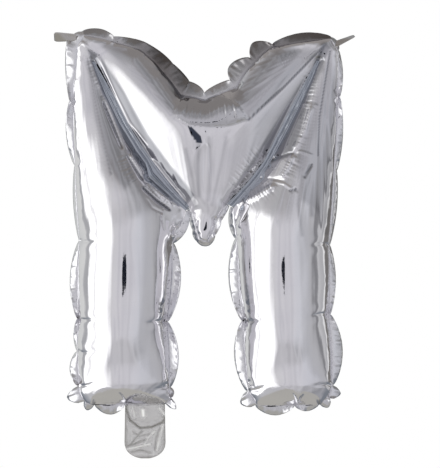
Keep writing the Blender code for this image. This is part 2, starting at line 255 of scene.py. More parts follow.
def pathLengths(path):
    # how far along the path each of its points is
    return np.concatenate([[0], np.cumsum(np.linalg.norm(np.diff(path, axis=0), axis=1))])


def triangulate(loop, pitch):
    low, high = loop.min(0), loop.max(0)
    rowPitch = pitch * math.sqrt(3) / 2
    rows = int((high[1] - low[1]) / rowPitch) + 1
    columns = int((high[0] - low[0]) / pitch) + 1
    grid = np.array([(low[0] + (c + 0.5 * (r % 2)) * pitch, low[1] + r * rowPitch)
                     for r in range(rows) for c in range(columns)])
    grid = grid[insideLoop(loop, grid)]
    grid = grid[distanceTo(loop, grid, True) > pitch * 0.55]
    points = [Vector(p) for p in np.vstack([loop, grid])]
    edges = [(i, (i + 1) % len(loop)) for i in range(len(loop))]
    flat, _, faces, _, _, _ = delaunay_2d_cdt(points, edges, [], 0, 1e-6)
    flat = np.array([(p.x, p.y) for p in flat])
    faces = np.array([f for f in faces if len(f) == 3])
    faces = faces[insideLoop(loop, flat[faces].mean(1))]
    used = np.unique(faces)
    renumber = np.full(len(flat), -1)
    renumber[used] = np.arange(len(used))
    return flat[used], renumber[faces]


def faceSides(faces):
    return np.vstack([faces[:, [0, 1]], faces[:, [1, 2]], faces[:, [2, 0]]])


def meshEdges(faces):
    # every edge once, with the corners opposite it (-1 on the rim)
    opposite = np.concatenate([faces[:, 2], faces[:, 0], faces[:, 1]])
    keys = np.sort(faceSides(faces), axis=1)
    order = np.lexsort((keys[:, 1], keys[:, 0]))
    keys, opposite = keys[order], opposite[order]
    fresh = np.ones(len(keys), bool)
    fresh[1:] = (keys[1:] != keys[:-1]).any(1)
    starts = np.flatnonzero(fresh)
    second = np.full(len(starts), -1)
    doubled = np.flatnonzero(np.diff(np.append(starts, len(keys))) == 2)
    second[doubled] = opposite[starts[doubled] + 1]
    return keys[starts], opposite[starts], second


def rimChain(faces):
    # the points of the rim in order, from the first pinch on
    directed = set(map(tuple, faceSides(faces).tolist()))
    following = {a: b for a, b in directed if (b, a) not in directed}
    chain = [0]
    while len(chain) < len(following):
        chain.append(following[chain[-1]])
    return np.array(chain)


def cornerSum(faces, values, count):
    # for each point, the sum over the triangles that meet there
    return np.bincount(faces.ravel(), np.repeat(values, 3), count)


def ringSum(edges, values, weight=1.0):
    # for each point, the sum of its neighbours' three values, each times the weight of the edge to it
    a, b = edges[:, 0], edges[:, 1]
    return np.stack([np.bincount(a, weight * values[b, k], len(values))
                     + np.bincount(b, weight * values[a, k], len(values)) for k in range(3)], 1)


def poissonHeights(flat, faces, rim):
    # the smooth field u with Laplacian -1 and u = 0 on the seam, by conjugate gradients
    count = len(flat)
    corners = flat[faces]
    area = np.abs(cross(corners[:, 1] - corners[:, 0], corners[:, 2] - corners[:, 0])) / 2
    load = cornerSum(faces, area / 3, count)
    ends, weights = [], []
    for k in range(3):
        a, b, c = faces[:, k], faces[:, (k + 1) % 3], faces[:, (k + 2) % 3]
        ends.append(np.stack([a, b], 1))
        weights.append(((flat[a] - flat[c]) * (flat[b] - flat[c])).sum(1) / (4 * area))
    ends, weights = np.vstack(ends), np.concatenate(weights)
    diagonal = np.bincount(ends.ravel(), np.repeat(weights, 2), count)

    def apply(u):
        pull = weights * u[ends[:, 1]]
        push = weights * u[ends[:, 0]]
        out = diagonal * u - np.bincount(ends[:, 0], pull, count) - np.bincount(ends[:, 1], push, count)
        out[rim] = 0
        return out

    u = np.zeros(count)
    residual = load.copy()
    residual[rim] = 0
    step = residual.copy()
    size = residual @ residual
    for _ in range(600):
        moved = apply(step)
        alpha = size / (step @ moved)
        u += alpha * step
        residual -= alpha * moved
        fresh = residual @ residual
        if fresh < 1e-9 * (load @ load):
            break
        step = residual + step * fresh / size
        size = fresh
    return np.clip(u, 0, None)


def colourGroups(pairs, count):
    # groups of pairs that share no point, so that each group can be moved in one go
    taken = [0] * count
    group = []
    for a, b in pairs.tolist():
        mask = taken[a] | taken[b]
        colour = 0
        while mask >> colour & 1:
            colour += 1
        taken[a] |= 1 << colour
        taken[b] |= 1 << colour
        group.append(colour)
    group = np.array(group)
    return [np.flatnonzero(group == colour) for colour in range(group.max() + 1)]


def outer(size, way):
    # a symmetric 2x2 stretch of this size along the way, for every point
    return size[:, None, None] * way[:, :, None] * way[:, None, :]


def limbGrowth(flat, faces, u):
    # The flat film is wider than the filled letter. Returns a symmetric 2x2 stretch for every point.
    shape = filmShape
    count = len(flat)
    corners = flat[faces]
    one, two = corners[:, 1] - corners[:, 0], corners[:, 2] - corners[:, 0]
    rise, lift = u[faces[:, 1]] - u[faces[:, 0]], u[faces[:, 2]] - u[faces[:, 0]]
    slope = np.stack([rise * two[:, 1] - lift * one[:, 1], lift * one[:, 0] - rise * two[:, 0]], 1)
    slope /= cross(one, two)[:, None]
    tensor = (slope[:, 0] ** 2, slope[:, 0] * slope[:, 1], slope[:, 1] ** 2)
    valence = np.bincount(faces.ravel(), minlength=count)
    spread = np.stack([cornerSum(faces, part, count) / valence for part in tensor], 1)
    edges, _, _ = meshEdges(faces)
    degree = np.bincount(edges.ravel(), minlength=count)
    for _ in range(shape["limbRounds"]):
        spread = 0.5 * spread + 0.5 * ringSum(edges, spread) / degree[:, None]
    size = spread[:, 0] + spread[:, 2] + 1e-9
    lean = np.hypot(spread[:, 0] - spread[:, 2], 2 * spread[:, 1]) / size
    angle = 0.5 * np.arctan2(2 * spread[:, 1], spread[:, 0] - spread[:, 2])
    across = np.stack([np.cos(angle), np.sin(angle)], 1)
    inLeg = below(flat[:, 1], *shape["legsFrom"])
    ease = inLeg + shape["crownEase"] * (1 - inLeg)
    x, z, halfWidth, halfHeight = shape["middle"]
    ease *= 1 - shape["middleEase"] * bell((flat[:, 0] - x) / halfWidth, (flat[:, 1] - z) / halfHeight)
    stretch = outer(1 + shape["acrossGrowth"] * ease * (0.45 + 0.55 * lean), across)
    stretch += outer(1 + shape["acrossGrowth"] * ease * 0.2 * (1 - lean), leftOf(across))
    stretch[:, 1, 1] += shape["endGrowth"] * bell((flat[:, 1] - shape["foot"]) / shape["endReach"])
    return stretch


def filmStretch(flat, rim, limb):
    # gathers at the pinches, slack along the seam and the drawn-in tucks
    shape = filmShape
    reach, part, _ = nearestOn(flat[rim], flat, True)
    slack = shape["seamGather"] * np.exp(-reach / shape["seamGatherReach"])
    slack *= np.maximum(below(flat[:, 1], *shape["seamGatherFrom"]), shape["seamGatherCrown"])
    extra = outer(slack, headings(flat[rim])[part])
    for corner, run, crease in zip(seamCorners, pinchRuns, creases):
        if not crease:
            continue
        offset = flat - corner
        inward = offset @ leftOf(run)
        beside = offset @ run
        far = shape["slitCreaseReach"] if tuple(corner) in slitPoints else shape["creaseReach"]
        width = shape["creaseWidth"] + 0.10 * np.clip(inward, 0, None)
        extra += outer(bell(beside / width, inward / far) * crease / (1.77 * width), run[None])
    stretch = limb + extra
    for target, width, spare, path in tucks:
        gap, part, _ = nearestOn(path, flat)
        heading = headings(np.array(path, float))[part]
        near = bell(gap / width)
        now = np.einsum("ni,nij,nj->n", heading, stretch, heading)
        stretch += outer(near * (target - now), heading)
        stretch += outer(spare * near, leftOf(heading))
    return stretch


def inflate(flat, faces, stretch, place, rim, pitch, steps, pressure):
    # a film of the flat pattern's size, held at the seam and pushed out by the air inside
    shape = filmShape
    count = len(flat)
    edges, first, second = meshEdges(faces)
    inner = second >= 0
    bends = np.stack([first[inner], second[inner]], 1)
    free = np.ones(count)
    free[rim] = 0
    groups = []
    springs = (edges, 1.0, shape["compression"]), (bends, shape["bending"], shape["bending"])
    for pairs, stiff, slack in springs:
        run = flat[pairs[:, 1]] - flat[pairs[:, 0]]
        middle = (stretch[pairs[:, 0]] + stretch[pairs[:, 1]]) / 2
        rest = np.linalg.norm(np.einsum("nij,nj->ni", middle, run), axis=1)
        for members in colourGroups(pairs, count):
            a, b = pairs[members, 0], pairs[members, 1]
            weight = free[a] + free[b]
            keep = weight > 0
            a, b, weight = a[keep], b[keep], weight[keep]
            shareA, shareB = (free[a] / weight)[:, None], (free[b] / weight)[:, None]
            groups.append((a, b, rest[members][keep], shareA, shareB, stiff, slack))
    last = place.copy()
    for step in range(steps):
        if step % shape["airEvery"] == 0:
            corner = place[faces]
            normal = np.cross(corner[:, 1] - corner[:, 0], corner[:, 2] - corner[:, 0])
            push = np.stack([cornerSum(faces, normal[:, k], count) for k in range(3)], 1)
            push *= (pressure / 6 / (pitch ** 2 * 0.866)) * free[:, None]
        drift = (place - last) * shape["drag"]
        last = place.copy()
        place = place + drift + push
        for a, b, rest, shareA, shareB, stiff, slack in groups:
            gap = place[b] - place[a]
            length = np.sqrt((gap * gap).sum(1))
            error = length - rest
            move = gap * (np.where(error > 0, stiff, slack) * error / length)[:, None]
            place[a] += move * shareA
            place[b] -= move * shareB
        place[:, 1] = np.minimum(place[:, 1], 0)
    return place


def subdivide(place, faces, fields):
    # one round of Loop subdivision, which keeps a mirror-bright film free of facets; fields take midpoints
    edges, first, second = meshEdges(faces)
    count = len(place)
    inner = second >= 0
    middle = (place[edges[:, 0]] + place[edges[:, 1]]) / 2
    middle[inner] = 0.75 * middle[inner] + 0.125 * (place[first[inner]] + place[second[inner]])
    valence = np.bincount(edges.ravel(), minlength=count).astype(float)
    beta = (0.625 - (0.375 + 0.25 * np.cos(2 * np.pi / valence)) ** 2)
    moved = place * (1 - beta)[:, None] + ringSum(edges, place) * (beta / valence)[:, None]
    onBorder = np.unique(edges[~inner])
    moved[onBorder] = place[onBorder]
    key = edges[:, 0] * count + edges[:, 1]
    order = np.argsort(key)

    def between(a, b):
        wanted = np.minimum(a, b) * count + np.maximum(a, b)
        return count + order[np.searchsorted(key[order], wanted)]

    a, b, c = faces.T
    ab, bc, ca = between(a, b), between(b, c), between(c, a)
    finer = [np.stack(f, 1) for f in ((a, ab, ca), (ab, b, bc), (ca, bc, c), (ab, bc, ca))]
    grown = [np.concatenate([f, (f[edges[:, 0]] + f[edges[:, 1]]) / 2]) for f in fields]
    return np.vstack([moved, middle]), np.stack(finer, 1).reshape(-1, 3), grown


def calm(place, flat, faces, rim, limb):
    # combs the film along the limbs, so that the mirror shows long clean streaks
    shape = filmShape
    count = len(place)
    edges, _, _ = meshEdges(faces)
    angle = 0.5 * np.arctan2(2 * limb[:, 0, 1], limb[:, 0, 0] - limb[:, 1, 1])
    along = np.stack([-np.sin(angle), np.cos(angle)], 1)
    run = unit(flat[edges[:, 1]] - flat[edges[:, 0]])
    straight = [(run * along[edges[:, end]]).sum(1) ** 8 for end in (0, 1)]
    weight = shape["calmAside"] + 0.5 * (straight[0] + straight[1])
    total = (np.bincount(edges[:, 0], weight, count) + np.bincount(edges[:, 1], weight, count))[:, None]
    share = eased((distanceTo(flat[rim], flat, True) - shape["calmFrom"]) / shape["calmReach"])[:, None]
    for _ in range(shape["calmRounds"]):
        place = place + (ringSum(edges, place, weight) / total - place) * share * shape["calmPull"]
    return place


# The taut facets of the crown. Each diagonal is a cone from its top corner: a facet that rises from the slit,
# then the fall to the notch. Between them the film stands level above the middle point.
crownShape = {
    "corners": [((-112, 167), (0.806, 0.592)), ((112, 164), (-0.848, 0.53))],
    "facetSlope": 0.47,
    "facetEase": 0.62,       # the share of that slope at the corner itself; it is full this far from it, mm
    "facetSpan": 80,
    "rayLift": 0.06,
    "slitSlope": 0.95,
    "notchSwell": 13.4,
    "notchReach": 6.0,
    "notchSlope": 0.225,
    "notchSpan": 103,        # the swell is full this far from the corners
    "notchRamp": 0.85,
    "middleHeight": 8.6,
    "middleBase": 17.4,      # z where the middle has that height
    "middleSlope": 0.16,
    "ridgeX": -15.0,         # the middle is a low roof with its ridge here
    "ridgeSlope": 0.12,
    "ridgeRound": 5.0,
    "softness": 1.7,
    "edge": 5.0,             # how wide the change to the settled film is along the slits and the notch, mm
    "bottom": (4, 22),       # where it begins and how wide it is: up from this z, and away from the corners
    "clear": (5, 20),
}


def crownForm(place, toNotch, toSlit):
    # the crown's height at each point, and its share against the settled film
    shape = crownShape
    spot = place[:, [0, 2]]
    spans = [np.linalg.norm(spot - corner, axis=1) for corner, _ in shape["corners"]]
    near = np.minimum(*spans)
    heights = []
    for span, (corner, up) in zip(spans, shape["corners"]):
        ease = shape["facetEase"] + (1 - shape["facetEase"]) * np.clip(span / shape["facetSpan"], 0, 1)
        rise = shape["facetSlope"] * ease * ((spot - corner) @ np.array(up))
        heights.append(shape["rayLift"] * span + rise)
    roof = np.hypot(spot[:, 0] - shape["ridgeX"], shape["ridgeRound"]) - shape["ridgeRound"]
    heights.append(shape["middleHeight"] + shape["middleSlope"] * (spot[:, 1] - shape["middleBase"])
                   - shape["ridgeSlope"] * roof)
    swell = shape["notchSwell"] * (1 - np.exp(-toNotch / shape["notchReach"]))
    swell += shape["notchSlope"] * toNotch
    heights.append(swell * np.clip(near / shape["notchSpan"], 0, 1) ** shape["notchRamp"])
    heights.append(shape["slitSlope"] * toSlit)
    heights = np.array(heights) / shape["softness"]
    low = heights.min(0)
    height = shape["softness"] * (low - np.log(np.exp(low - heights).sum(0)))
    (bottom, rise), (gone, full) = shape["bottom"], shape["clear"]
    share = eased((spot[:, 1] - bottom) / rise) * eased((near - gone) / full)
    leftLine = [p[:2] for p in leftSlit[:8]] + [shape["corners"][0][0]]
    rightLine = [p[:2] for p in rightSlit[:6:-1]] + [shape["corners"][1][0]]
    for distance in (-leftDistance(leftLine, spot), leftDistance(rightLine, spot), toNotch):
        share *= eased(distance / shape["edge"])
    return np.clip(height, 0, None), share


def settleFilm(seed):
    shape = filmShape
    pitch = shape["coarsePitch"]
    loop, _, _ = seamPoints(pitch)
    flat, faces = triangulate(loop, pitch)
    rim = rimChain(faces)
    u = poissonHeights(flat, faces, rim)
    limb = limbGrowth(flat, faces, u)
    rough = np.random.default_rng(seed).normal(0, shape["unevenness"], len(flat)) * (u > 0)
    place = np.stack([flat[:, 0], -shape["fullness"] * np.sqrt(2 * u) - rough, flat[:, 1]], 1)
    place[rim, 1] = 0
    steps = shape["coarseSteps"]
    stretch = filmStretch(flat, rim, limb)
    place = inflate(flat, faces, stretch, place, rim, pitch, steps, shape["coarsePressure"])
    place, faces, (flat, limb) = subdivide(place, faces, (flat, limb))
    rim = rimChain(faces)
    stretch, steps = filmStretch(flat, rim, limb), shape["fineSteps"]
    place = inflate(flat, faces, stretch, place, rim, pitch / 2, steps, shape["finePressure"])
    combed = calm(place, flat, faces, rim, limb)
    spot = combed[:, [0, 2]]
    toNotch = distanceTo([p[:2] for p in crown] + [leftLeg[0][:2]], spot)
    toSlit = np.min([distanceTo([p[:2] for p in slit], spot) for slit in (leftSlit, vee, rightSlit)], 0)
    height, share = crownForm(combed, toNotch, toSlit)
    combed[:, 1] = combed[:, 1] * (1 - share) - height * share
    combed[:, 1] *= 1 - shape["legTaper"] * below(combed[:, 2], *shape["taperFrom"])
    combed[:, 1] *= 1 + shape["endFill"] * below(combed[:, 2], *shape["fillFrom"]) ** 2.5
    place, faces, (flat,) = subdivide(combed, faces, (flat,))
    return place, flat, faces


# Soft streaks and folds that the settled film carries, each along a line: x, z to x, z, depth in mm
# (a hollow is positive, a ridge negative) and half width in mm
streaks = [
    (-110, 160, -98, 47, 0.35, 3), (-110, 158, -86, 66, -0.35, 3.2), (-108, 156, -77, 57, 0.45, 3),
    (-98, 158, -50, 90, -0.3, 3), (-95, 158, -41, 66, 0.4, 2.6), (-88, 160, -30, 94, 0.35, 4),
    (110, 166, 45, 96, 0.55, 1.7), (91, 158, 40, 104, 0.35, 3), (119, 157, 107, 57, 0.5, 1.5),
    (108, 137, 94, 66, -0.3, 2.4), (102, 66, 91, 5, 0.35, 2.6), (0, 85, 0, 19, 0.35, 2.6),
    (-7, 80, -12, 38, -0.35, 3), (8, 80, 12, 29, 0.3, 3), (-64, -4, -61, -150, -0.22, 3),
    (-53, -18, -54, -154, 0.25, 2.6), (-82, -75, -80, -159, 0.22, 2.6), (87, 5, 91, -75, 0.25, 2.6),
    (96, -18, 97, -103, -0.22, 2.8), (74, -84, 76, -150, 0.22, 2.6), (91, -94, 90, -155, 0.25, 2.6),
]

# Puffs stand out from the film round them: how high in mm, how deep the crease round them is and its half
# width, then the crease's points from seam to seam
puffs = [
    (1.6, 0.5, 1.2, [(-16, 118), (-25.5, 107), (-27, 96), (-13, 89), (6, 87), (25, 88), (43, 94), (33, 108),
        (19, 118)]),
    (0.8, 0.9, 1.6, [(65, 58), (87.5, 64.5), (82.5, 51), (73, 38), (53.5, 40)]),
]

# Swells lift the film softly: x, z, half widths across and up, height
swells = [
    (-72, 36, 24, 20, 2.2),
]

# Scoops are where a leg's end is turned under: x of the middle, z of the seam, half width, height and slope
scoops = [
    (-88, -172.2, 15.5, 17.5, 1.55), (-55, -172, 18, 10.5, 1.4), (69, -173.2, 19.5, 20.5, 1.45),
    (98.5, -172.5, 9.5, 12.5, 1.5),
]
scoopShape = {
    "edge": 1.4,             # how soft its arc is, mm
    "crown": 0.6,            # how far its middle stands out
    "rim": 0.35,             # height and half width of the ridge along the arc
    "rimWidth": 0.9,
}

# Sharp folds: height in mm (a groove is positive, a ridge negative), half width, pleats across it, how much
# painted shade lies along it (below 0 it clears the painted shade, so it stays bright) and over what half
# width, its points
folds = [
    (-0.7, 1.5, 0, 0, 1, [(-112.8, 166.8), (-98.7, 154.6)]),
    (-0.7, 1.5, 0, 0, 1, [(112.8, 165), (95.9, 151.8)]),
    (-0.8, 0.8, 0, 0, 1, [(19.7, 114.2), (28.2, 110.4), (34.8, 103.9), (41.4, 93.5)]),
    (-0.8, 0.8, 0, 0, 1, [(27.3, 110.4), (31, 102), (32.9, 93.5)]),
    (-0.8, 0.8, 0, 0, 1, [(-16, 116.1), (-23.5, 108.6), (-26.3, 101), (-27.3, 95.4)]),
    (-0.35, 0.7, 0, 0, 1, [(-12.2, 114.2), (-18.8, 105.8), (-20.7, 97.3)]),
    (-0.85, 1.5, 0, -0.9, 1.2, [(-110, 162.1), (-95.1, 119.7), (-91.2, 113.3), (-71.5, 67.2)]),
    (1.6, 1.4, 0, 0.7, 1.1, [(-93.1, 111.4), (-83.7, 88.8), (-75.5, 67.5)]),
    (-0.65, 1.2, 0, -0.9, 1, [(-98.7, 154.6), (-80.8, 115.7), (-69, 92.1), (-52.6, 71.2)]),
    (1.1, 1.1, 0, 0.55, 1, [(-102.5, 154.6), (-85.5, 116.1), (-72.4, 90.7), (-58.3, 70)]),
    (-2.3, 2.3, 0.2, -0.9, 1.8, [(-67.7, 61.6), (-61.1, 52.2), (-54, 42.8)]),
    (2, 1, 0.5, 0.75, 1.1, [(-70.5, 60.6), (-63, 48.4), (-56.4, 38.1)]),
    (-1.7, 1.5, 0, -0.9, 1.4, [(-47.9, 56.9), (-34.8, 39.9), (-16.9, 18.3)]),
    (1.5, 1, 0.4, 0, 1, [(-52.6, 54), (-38.5, 35.2), (-21.6, 15.5)]),
    (-2.4, 2.2, 0.15, -0.9, 1.8, [(-51.7, 36.2), (-37.6, 23), (-23.5, 13.6)]),
    (2.8, 1.1, 0.5, 0.85, 1.4, [(-55.7, 30.5), (-42.6, 18.3), (-31, 9.9)]),
    (-1.4, 1.6, 0, -0.9, 1.6, [(85.5, 103.9), (75.2, 84.1), (61.1, 59.7)]),
    (-1.8, 2.3, 0.15, -0.9, 1.5, [(101.8, 106.7), (94.9, 85.1), (85.5, 65.3)]),
    (1.3, 0.9, 0, 0, 1, [(93.1, 118), (82.7, 96.3), (68.6, 66.3)]),
    (-2.2, 2.6, 0.2, 0, 1, [(84.6, 60.6), (79, 50.3), (72.8, 39)]),
    (-2.4, 2.8, 0.2, 0, 1, [(66.7, 33.4), (49.8, 23), (32.9, 15.5)]),
    (0.8, 1.9, 0.3, 0, 1, [(55.5, 55.9), (40.4, 38.1), (22.6, 16.4)]),
    (-0.5, 0.8, 0, 0, 1, [(82.7, 108.1), (94.9, 109.5), (108.1, 107.2)]),
    (-0.6, 0.8, 0, 0, 1, [(79.9, 64.4), (91.2, 64.4), (102.5, 60.6)]),
    (-0.7, 0.9, 0, 0, 1, [(63, 37.1), (75.2, 34.3), (84.6, 27.7)]),
    (0.8, 0.7, 0, 0.8, 1.1, [(113.9, 164), (75.5, 124.5), (42.6, 93.8)]),
    (0.6, 0.7, 0, 0.75, 1, [(119.4, 159.3), (109, 96.3), (107.6, 60.6)]),
    (0.6, 0.8, 0, 0, 1, [(-30.1, 20.2), (-35.7, 11.8), (-38.1, 2.3), (-35.7, -9.9)]),
    (-0.6, 0.9, 0, 0, 1, [(-19.7, 9.9), (-27.3, 2.3), (-31, -8), (-31, -19.3)]),
    (0.5, 0.8, 0, 0, 1, [(-52.6, 20.2), (-47, 11.8), (-37.6, 7)]),
    (1.6, 0.9, 0, 0.8, 1.2, [(101.8, 52.2), (97.8, 45.6), (94.2, 40.1)]),
    (1.2, 0.7, 0, 0.8, 0.9, [(86.9, 29.1), (80.8, 27.3)]),
]

# Gathers are fine pleats across a line: height in mm, length of one pleat, half width, its points
gathers = [
    (0.42, 3.6, 8.5, [(-23.5, 106.7), (-12.2, 104.8), (1.9, 103.9), (17.9, 104.8), (34.8, 107.6)]),
    (0.2, 3.4, 4.5, [(-77.1, 64.4), (-70.5, 47.5), (-62, 34.3)]),
    (0.14, 3.4, 4, [(-59.2, 38.1), (-47.9, 25.8), (-32.9, 15.5)]),
    (0.22, 3.3, 5, [(101.5, 141.5), (98.7, 106.7), (87.4, 65.3)]),
    (0.24, 3.6, 6, [(87.4, 60.6), (76.1, 38.1)]),
    (0.26, 3.8, 6, [(69.6, 34.3), (51.7, 23), (31, 14.6)]),
    (0.24, 3.5, 6, [(55.5, 66.3), (41.4, 51.2), (28.2, 28.7)]),
    (0.13, 3.2, 2.5, [(-108.1, 150.9), (-94, 115.1), (-76.1, 68.1)]),
]
gatherShape = {
    "shade": 0.40,           # painted shade in the pleats' hollows, at most
    "ends": 5,               # mm over which the pleats fade at both ends
}

# Fans of straight creases from a point: x, z, first and last bearing, near and far end, height in mm 80 mm
# from the point, bearing between creases, seed
fans = [
    (-111.9, 166.9, -96, -69, 10, 150, 0.032, 3.4, 1), (-111.9, 166.9, -52, -18, 20, 135, 0.02, 3, 2),
    (112, 164, -174, -127, 10, 140, 0.085, 4.6, 3), (112, 164, -113, -79, 10, 190, 0.12, 4.2, 4),
    (4, -70, 55, 125, 75, 172, 0.06, 5, 5), (-75, 900, -92.6, -87.4, 830, 1072, 0.006, 0.46, 6),
    (78, 900, -92.6, -87.4, 830, 1072, 0.006, 0.46, 7),
]
fanShape = {
    "fadeIn": 22,            # mm over which the creases begin and end
    "fadeOut": 40,
    "bend": 37,              # mm for each bend in them
    "waves": ((1.0, 1.0), (0.6, 0.61), (0.35, 0.37)),     # height and length of the waves they are made of
}

# Painted shade and painted dark reflections, where the film would mirror only itself beside the folds. Areas:
# how dark, how soft the edge is in mm, the corners. Lines: how dark, half width, its points.
shadeAreas = [
    (0.3, 3, [(-17.9, 116.1), (-25.4, 105.8), (-26.3, 96.3), (-12.2, 88.8), (5.6, 86.9), (24.4, 87.9),
        (42.3, 93.5), (32.9, 107.6), (19.7, 116.1), (1.9, 119.8)]),
    (0.3, 2, [(-17.9, 116.1), (-20.7, 109.5), (-7.5, 104.8), (11.3, 104.8), (28.2, 109.5), (19.7, 116.1),
        (1.9, 119.8)]),
    (0.24, 8, [(-96.8, 165.9), (-57.3, 120.8), (-27.3, 94.5), (-17.9, 109.5), (-34.8, 135.8),
        (-59.2, 162.1)]),
    (0.28, 5, [(-110, 158.4), (-103.4, 103.9), (-89.3, 52.2), (-72.4, 28.7), (-63, 39.9), (-76.1, 66.3),
        (-94, 115.1)]),
    (0.36, 7, [(111.9, 162.1), (75.2, 124.5), (42.3, 93.5), (27.3, 113.3), (39.5, 133.9), (55.5, 149),
        (68.6, 160.3)]),
    (0.14, 7, [(111.9, 162.1), (42.3, 93.5), (23.5, 66.3), (19.7, 28.7), (55.5, 71.9), (81.8, 113.3)]),
    (0.32, 7, [(120.3, 160.3), (102.5, 106.7), (86.5, 61.6), (91.2, 19.3), (110, 5.2), (119.4, 66.3),
        (125, 118)]),
    (0.62, 3, [(-110.9, 163.1), (-95.9, 119.8), (-92.1, 113.3), (-72.4, 67.2), (-65.8, 56.9), (-53.6, 39.9),
        (-35.7, 22.1), (-17.9, 11.8), (-7.5, 23.7), (-35.7, 58.8), (-51.4, 80.7), (-73.3, 120.1),
        (-97.5, 155.3)]),
    (0.5, 3, [(115.6, 167.8), (81.8, 113.3), (55.5, 71.9), (20.7, 17.4), (25.4, 12.7), (64.9, 54),
        (84.6, 61.6), (97.8, 106.7), (107.2, 133), (120.3, 164)]),
    # the dark sliver in the V: a painted dark reflection
    (0.97, 0.8, [(-14.1, 87.9), (-10.3, 86.9), (-1.9, 78.5), (-0.5, 71.9), (-5.6, 72.4), (-11.3, 80.4)]),
    (0.6, 2.5, [(-58.3, 164), (-34.8, 132.1), (-21.6, 114.2), (-14.1, 118), (-25.4, 138.7),
        (-39.5, 160.3)]),
    (0.22, 2.5, [(120.3, 118), (115.6, 56.9), (111.9, -13.6), (117.5, -13.6), (123.1, 56.9), (126, 118)]),
]
shadeLines = [
    (0.3, 2.2, [(-3.8, 76.6), (-4.7, 52.2), (-3.8, 23)]),
    (0.22, 2, [(5.6, 76.6), (7.5, 52.2), (4.7, 19.3)]),
    (0.25, 1.6, [(-16, 66.3), (-9.4, 38.1), (-6.6, 13.6)]),
    (0.22, 1.6, [(21.6, 77.5), (16, 47.5), (8.5, 14.6)]),
    (0.3, 3, [(63, 150.9), (55.5, 130.2), (42.3, 105.8)]),
    (0.28, 2.2, [(87.4, 154.6), (68.6, 128.3), (47.9, 103.9)]),
    (0.3, 2.4, [(102.5, 94.5), (98.7, 56.9), (101.5, 5.2)]),
    (0.25, 1.8, [(91.2, 42.8), (88.4, 14.6), (92.1, -13.6)]),
    (0.25, 2, [(113.7, 141.5), (113.7, 94.5), (108.1, 38.1)]),
    (0.4, 1.2, [(-108.1, 150.9), (-101.5, 113.3), (-93.1, 75.7), (-85.5, 42.8)]),
    (0.75, 3.2, [(113.7, 164), (96.8, 126.4), (87.4, 112.3)]),
    (0.55, 2.6, [(87.4, 112.3), (70.5, 82.2), (61.1, 60.6)]),
    (0.5, 3, [(61.1, 60.6), (41.4, 38.1), (21.6, 15.5)]),
    (0.9, 2, [(-58.3, 67.2), (-51.7, 58.8), (-53.6, 47.5)]),
    (0.85, 1.2, [(-52.6, 54), (-38.5, 35.2), (-19.7, 14.6)]),
    (0.75, 0.9, [(38.5, -93.5), (43.2, -94.9)]),
    (0.75, 0.9, [(42.3, -160.3), (45.1, -155.6)]),
    (0.75, 0.9, [(109, -174.4), (109, -168.7)]),
    (0.75, 0.9, [(-104.3, -176.2), (-101.5, -170.6)]),
]

pinchFold = {
    "least": 2.9,            # creases that gather less film than this leave no fold across the film
    "lowest": -160,          # nor do those below this height
    "reach": 23.0,
    "depth": 0.38,           # mm of depth for each mm of film taken up
    "halfWidth": 1.25,
    "belly": 0.9,            # how far the film beside it bulges, mm, how far from it, and its half width
    "bellyAt": 6,
    "bellyWidth": 4,
}


def addStreaks(place, flat):
    for x1, z1, x2, z2, depth, halfWidth in streaks:
        start, run = np.array((x1, z1), float), np.array((x2 - x1, z2 - z1), float)
        length = np.linalg.norm(run)
        offset = flat - start
        t = offset @ run / length ** 2
        sway = 1.2 * np.sin(t * 5.3 + x1)     # no crease runs dead straight
        beside = offset @ leftOf(run / length) - sway
        fade = np.sin(math.pi * np.clip(t, 0, 1)) ** 0.8
        place[:, 1] += depth * fade * bell(beside / halfWidth)
    place[:, 1] = np.minimum(place[:, 1], 0)


def addPuffs(place):
    spot = place[:, [0, 2]]
    for height, depth, halfWidth, path in puffs:
        gap = distanceTo(path, spot)
        place[:, 1] += depth * np.exp(-gap / halfWidth)
        place[:, 1] -= np.where(insideLoop(path, spot), height * (1 - np.exp(-gap / (2.5 * halfWidth))), 0)
    for x, z, across, up, height in swells:
        place[:, 1] -= height * bell((spot[:, 0] - x) / across, (spot[:, 1] - z) / up)
    for x, z, halfWidth, height, slope in scoops:
        across, up = (spot[:, 0] - x) / halfWidth, (spot[:, 1] - z) / height
        ring = (1 - np.sqrt(across ** 2 + up ** 2)) * min(halfWidth, height)      # mm inside the arc
        plane = -slope * (spot[:, 1] - z) - scoopShape["crown"] * (1 - across ** 2).clip(0, 1)
        inside = eased(ring / scoopShape["edge"] + 0.5)
        place[:, 1] += inside * (np.maximum(place[:, 1], plane) - place[:, 1])
        place[:, 1] -= scoopShape["rim"] * bell(ring / scoopShape["rimWidth"]) * (up > 0)


def addFans(place):
    spot = place[:, [0, 2]]
    for x, z, first, last, near, far, height, width, seed in fans:
        offset = spot - (x, z)
        reach = np.linalg.norm(offset, axis=1)
        bearing = np.degrees(np.arctan2(offset[:, 1], offset[:, 0]))
        edge = (last - first) / 8
        inside = eased((bearing - first) / edge) * eased((last - bearing) / edge)
        inside *= eased((reach - near) / fanShape["fadeIn"]) * eased((far - reach) / fanShape["fadeOut"])
        rng = np.random.default_rng(seed)
        wave = np.zeros(len(place))
        for share, finer in fanShape["waves"]:
            turn = 2 * math.pi * bearing / (width * finer)
            start, bend = rng.uniform(0, 6.28), rng.uniform(0, 6.28)
            wave += share * np.sin(turn + start + 0.6 * np.sin(reach / fanShape["bend"] + bend))
        place[:, 1] += height * inside * wave * np.sqrt(reach / 80)


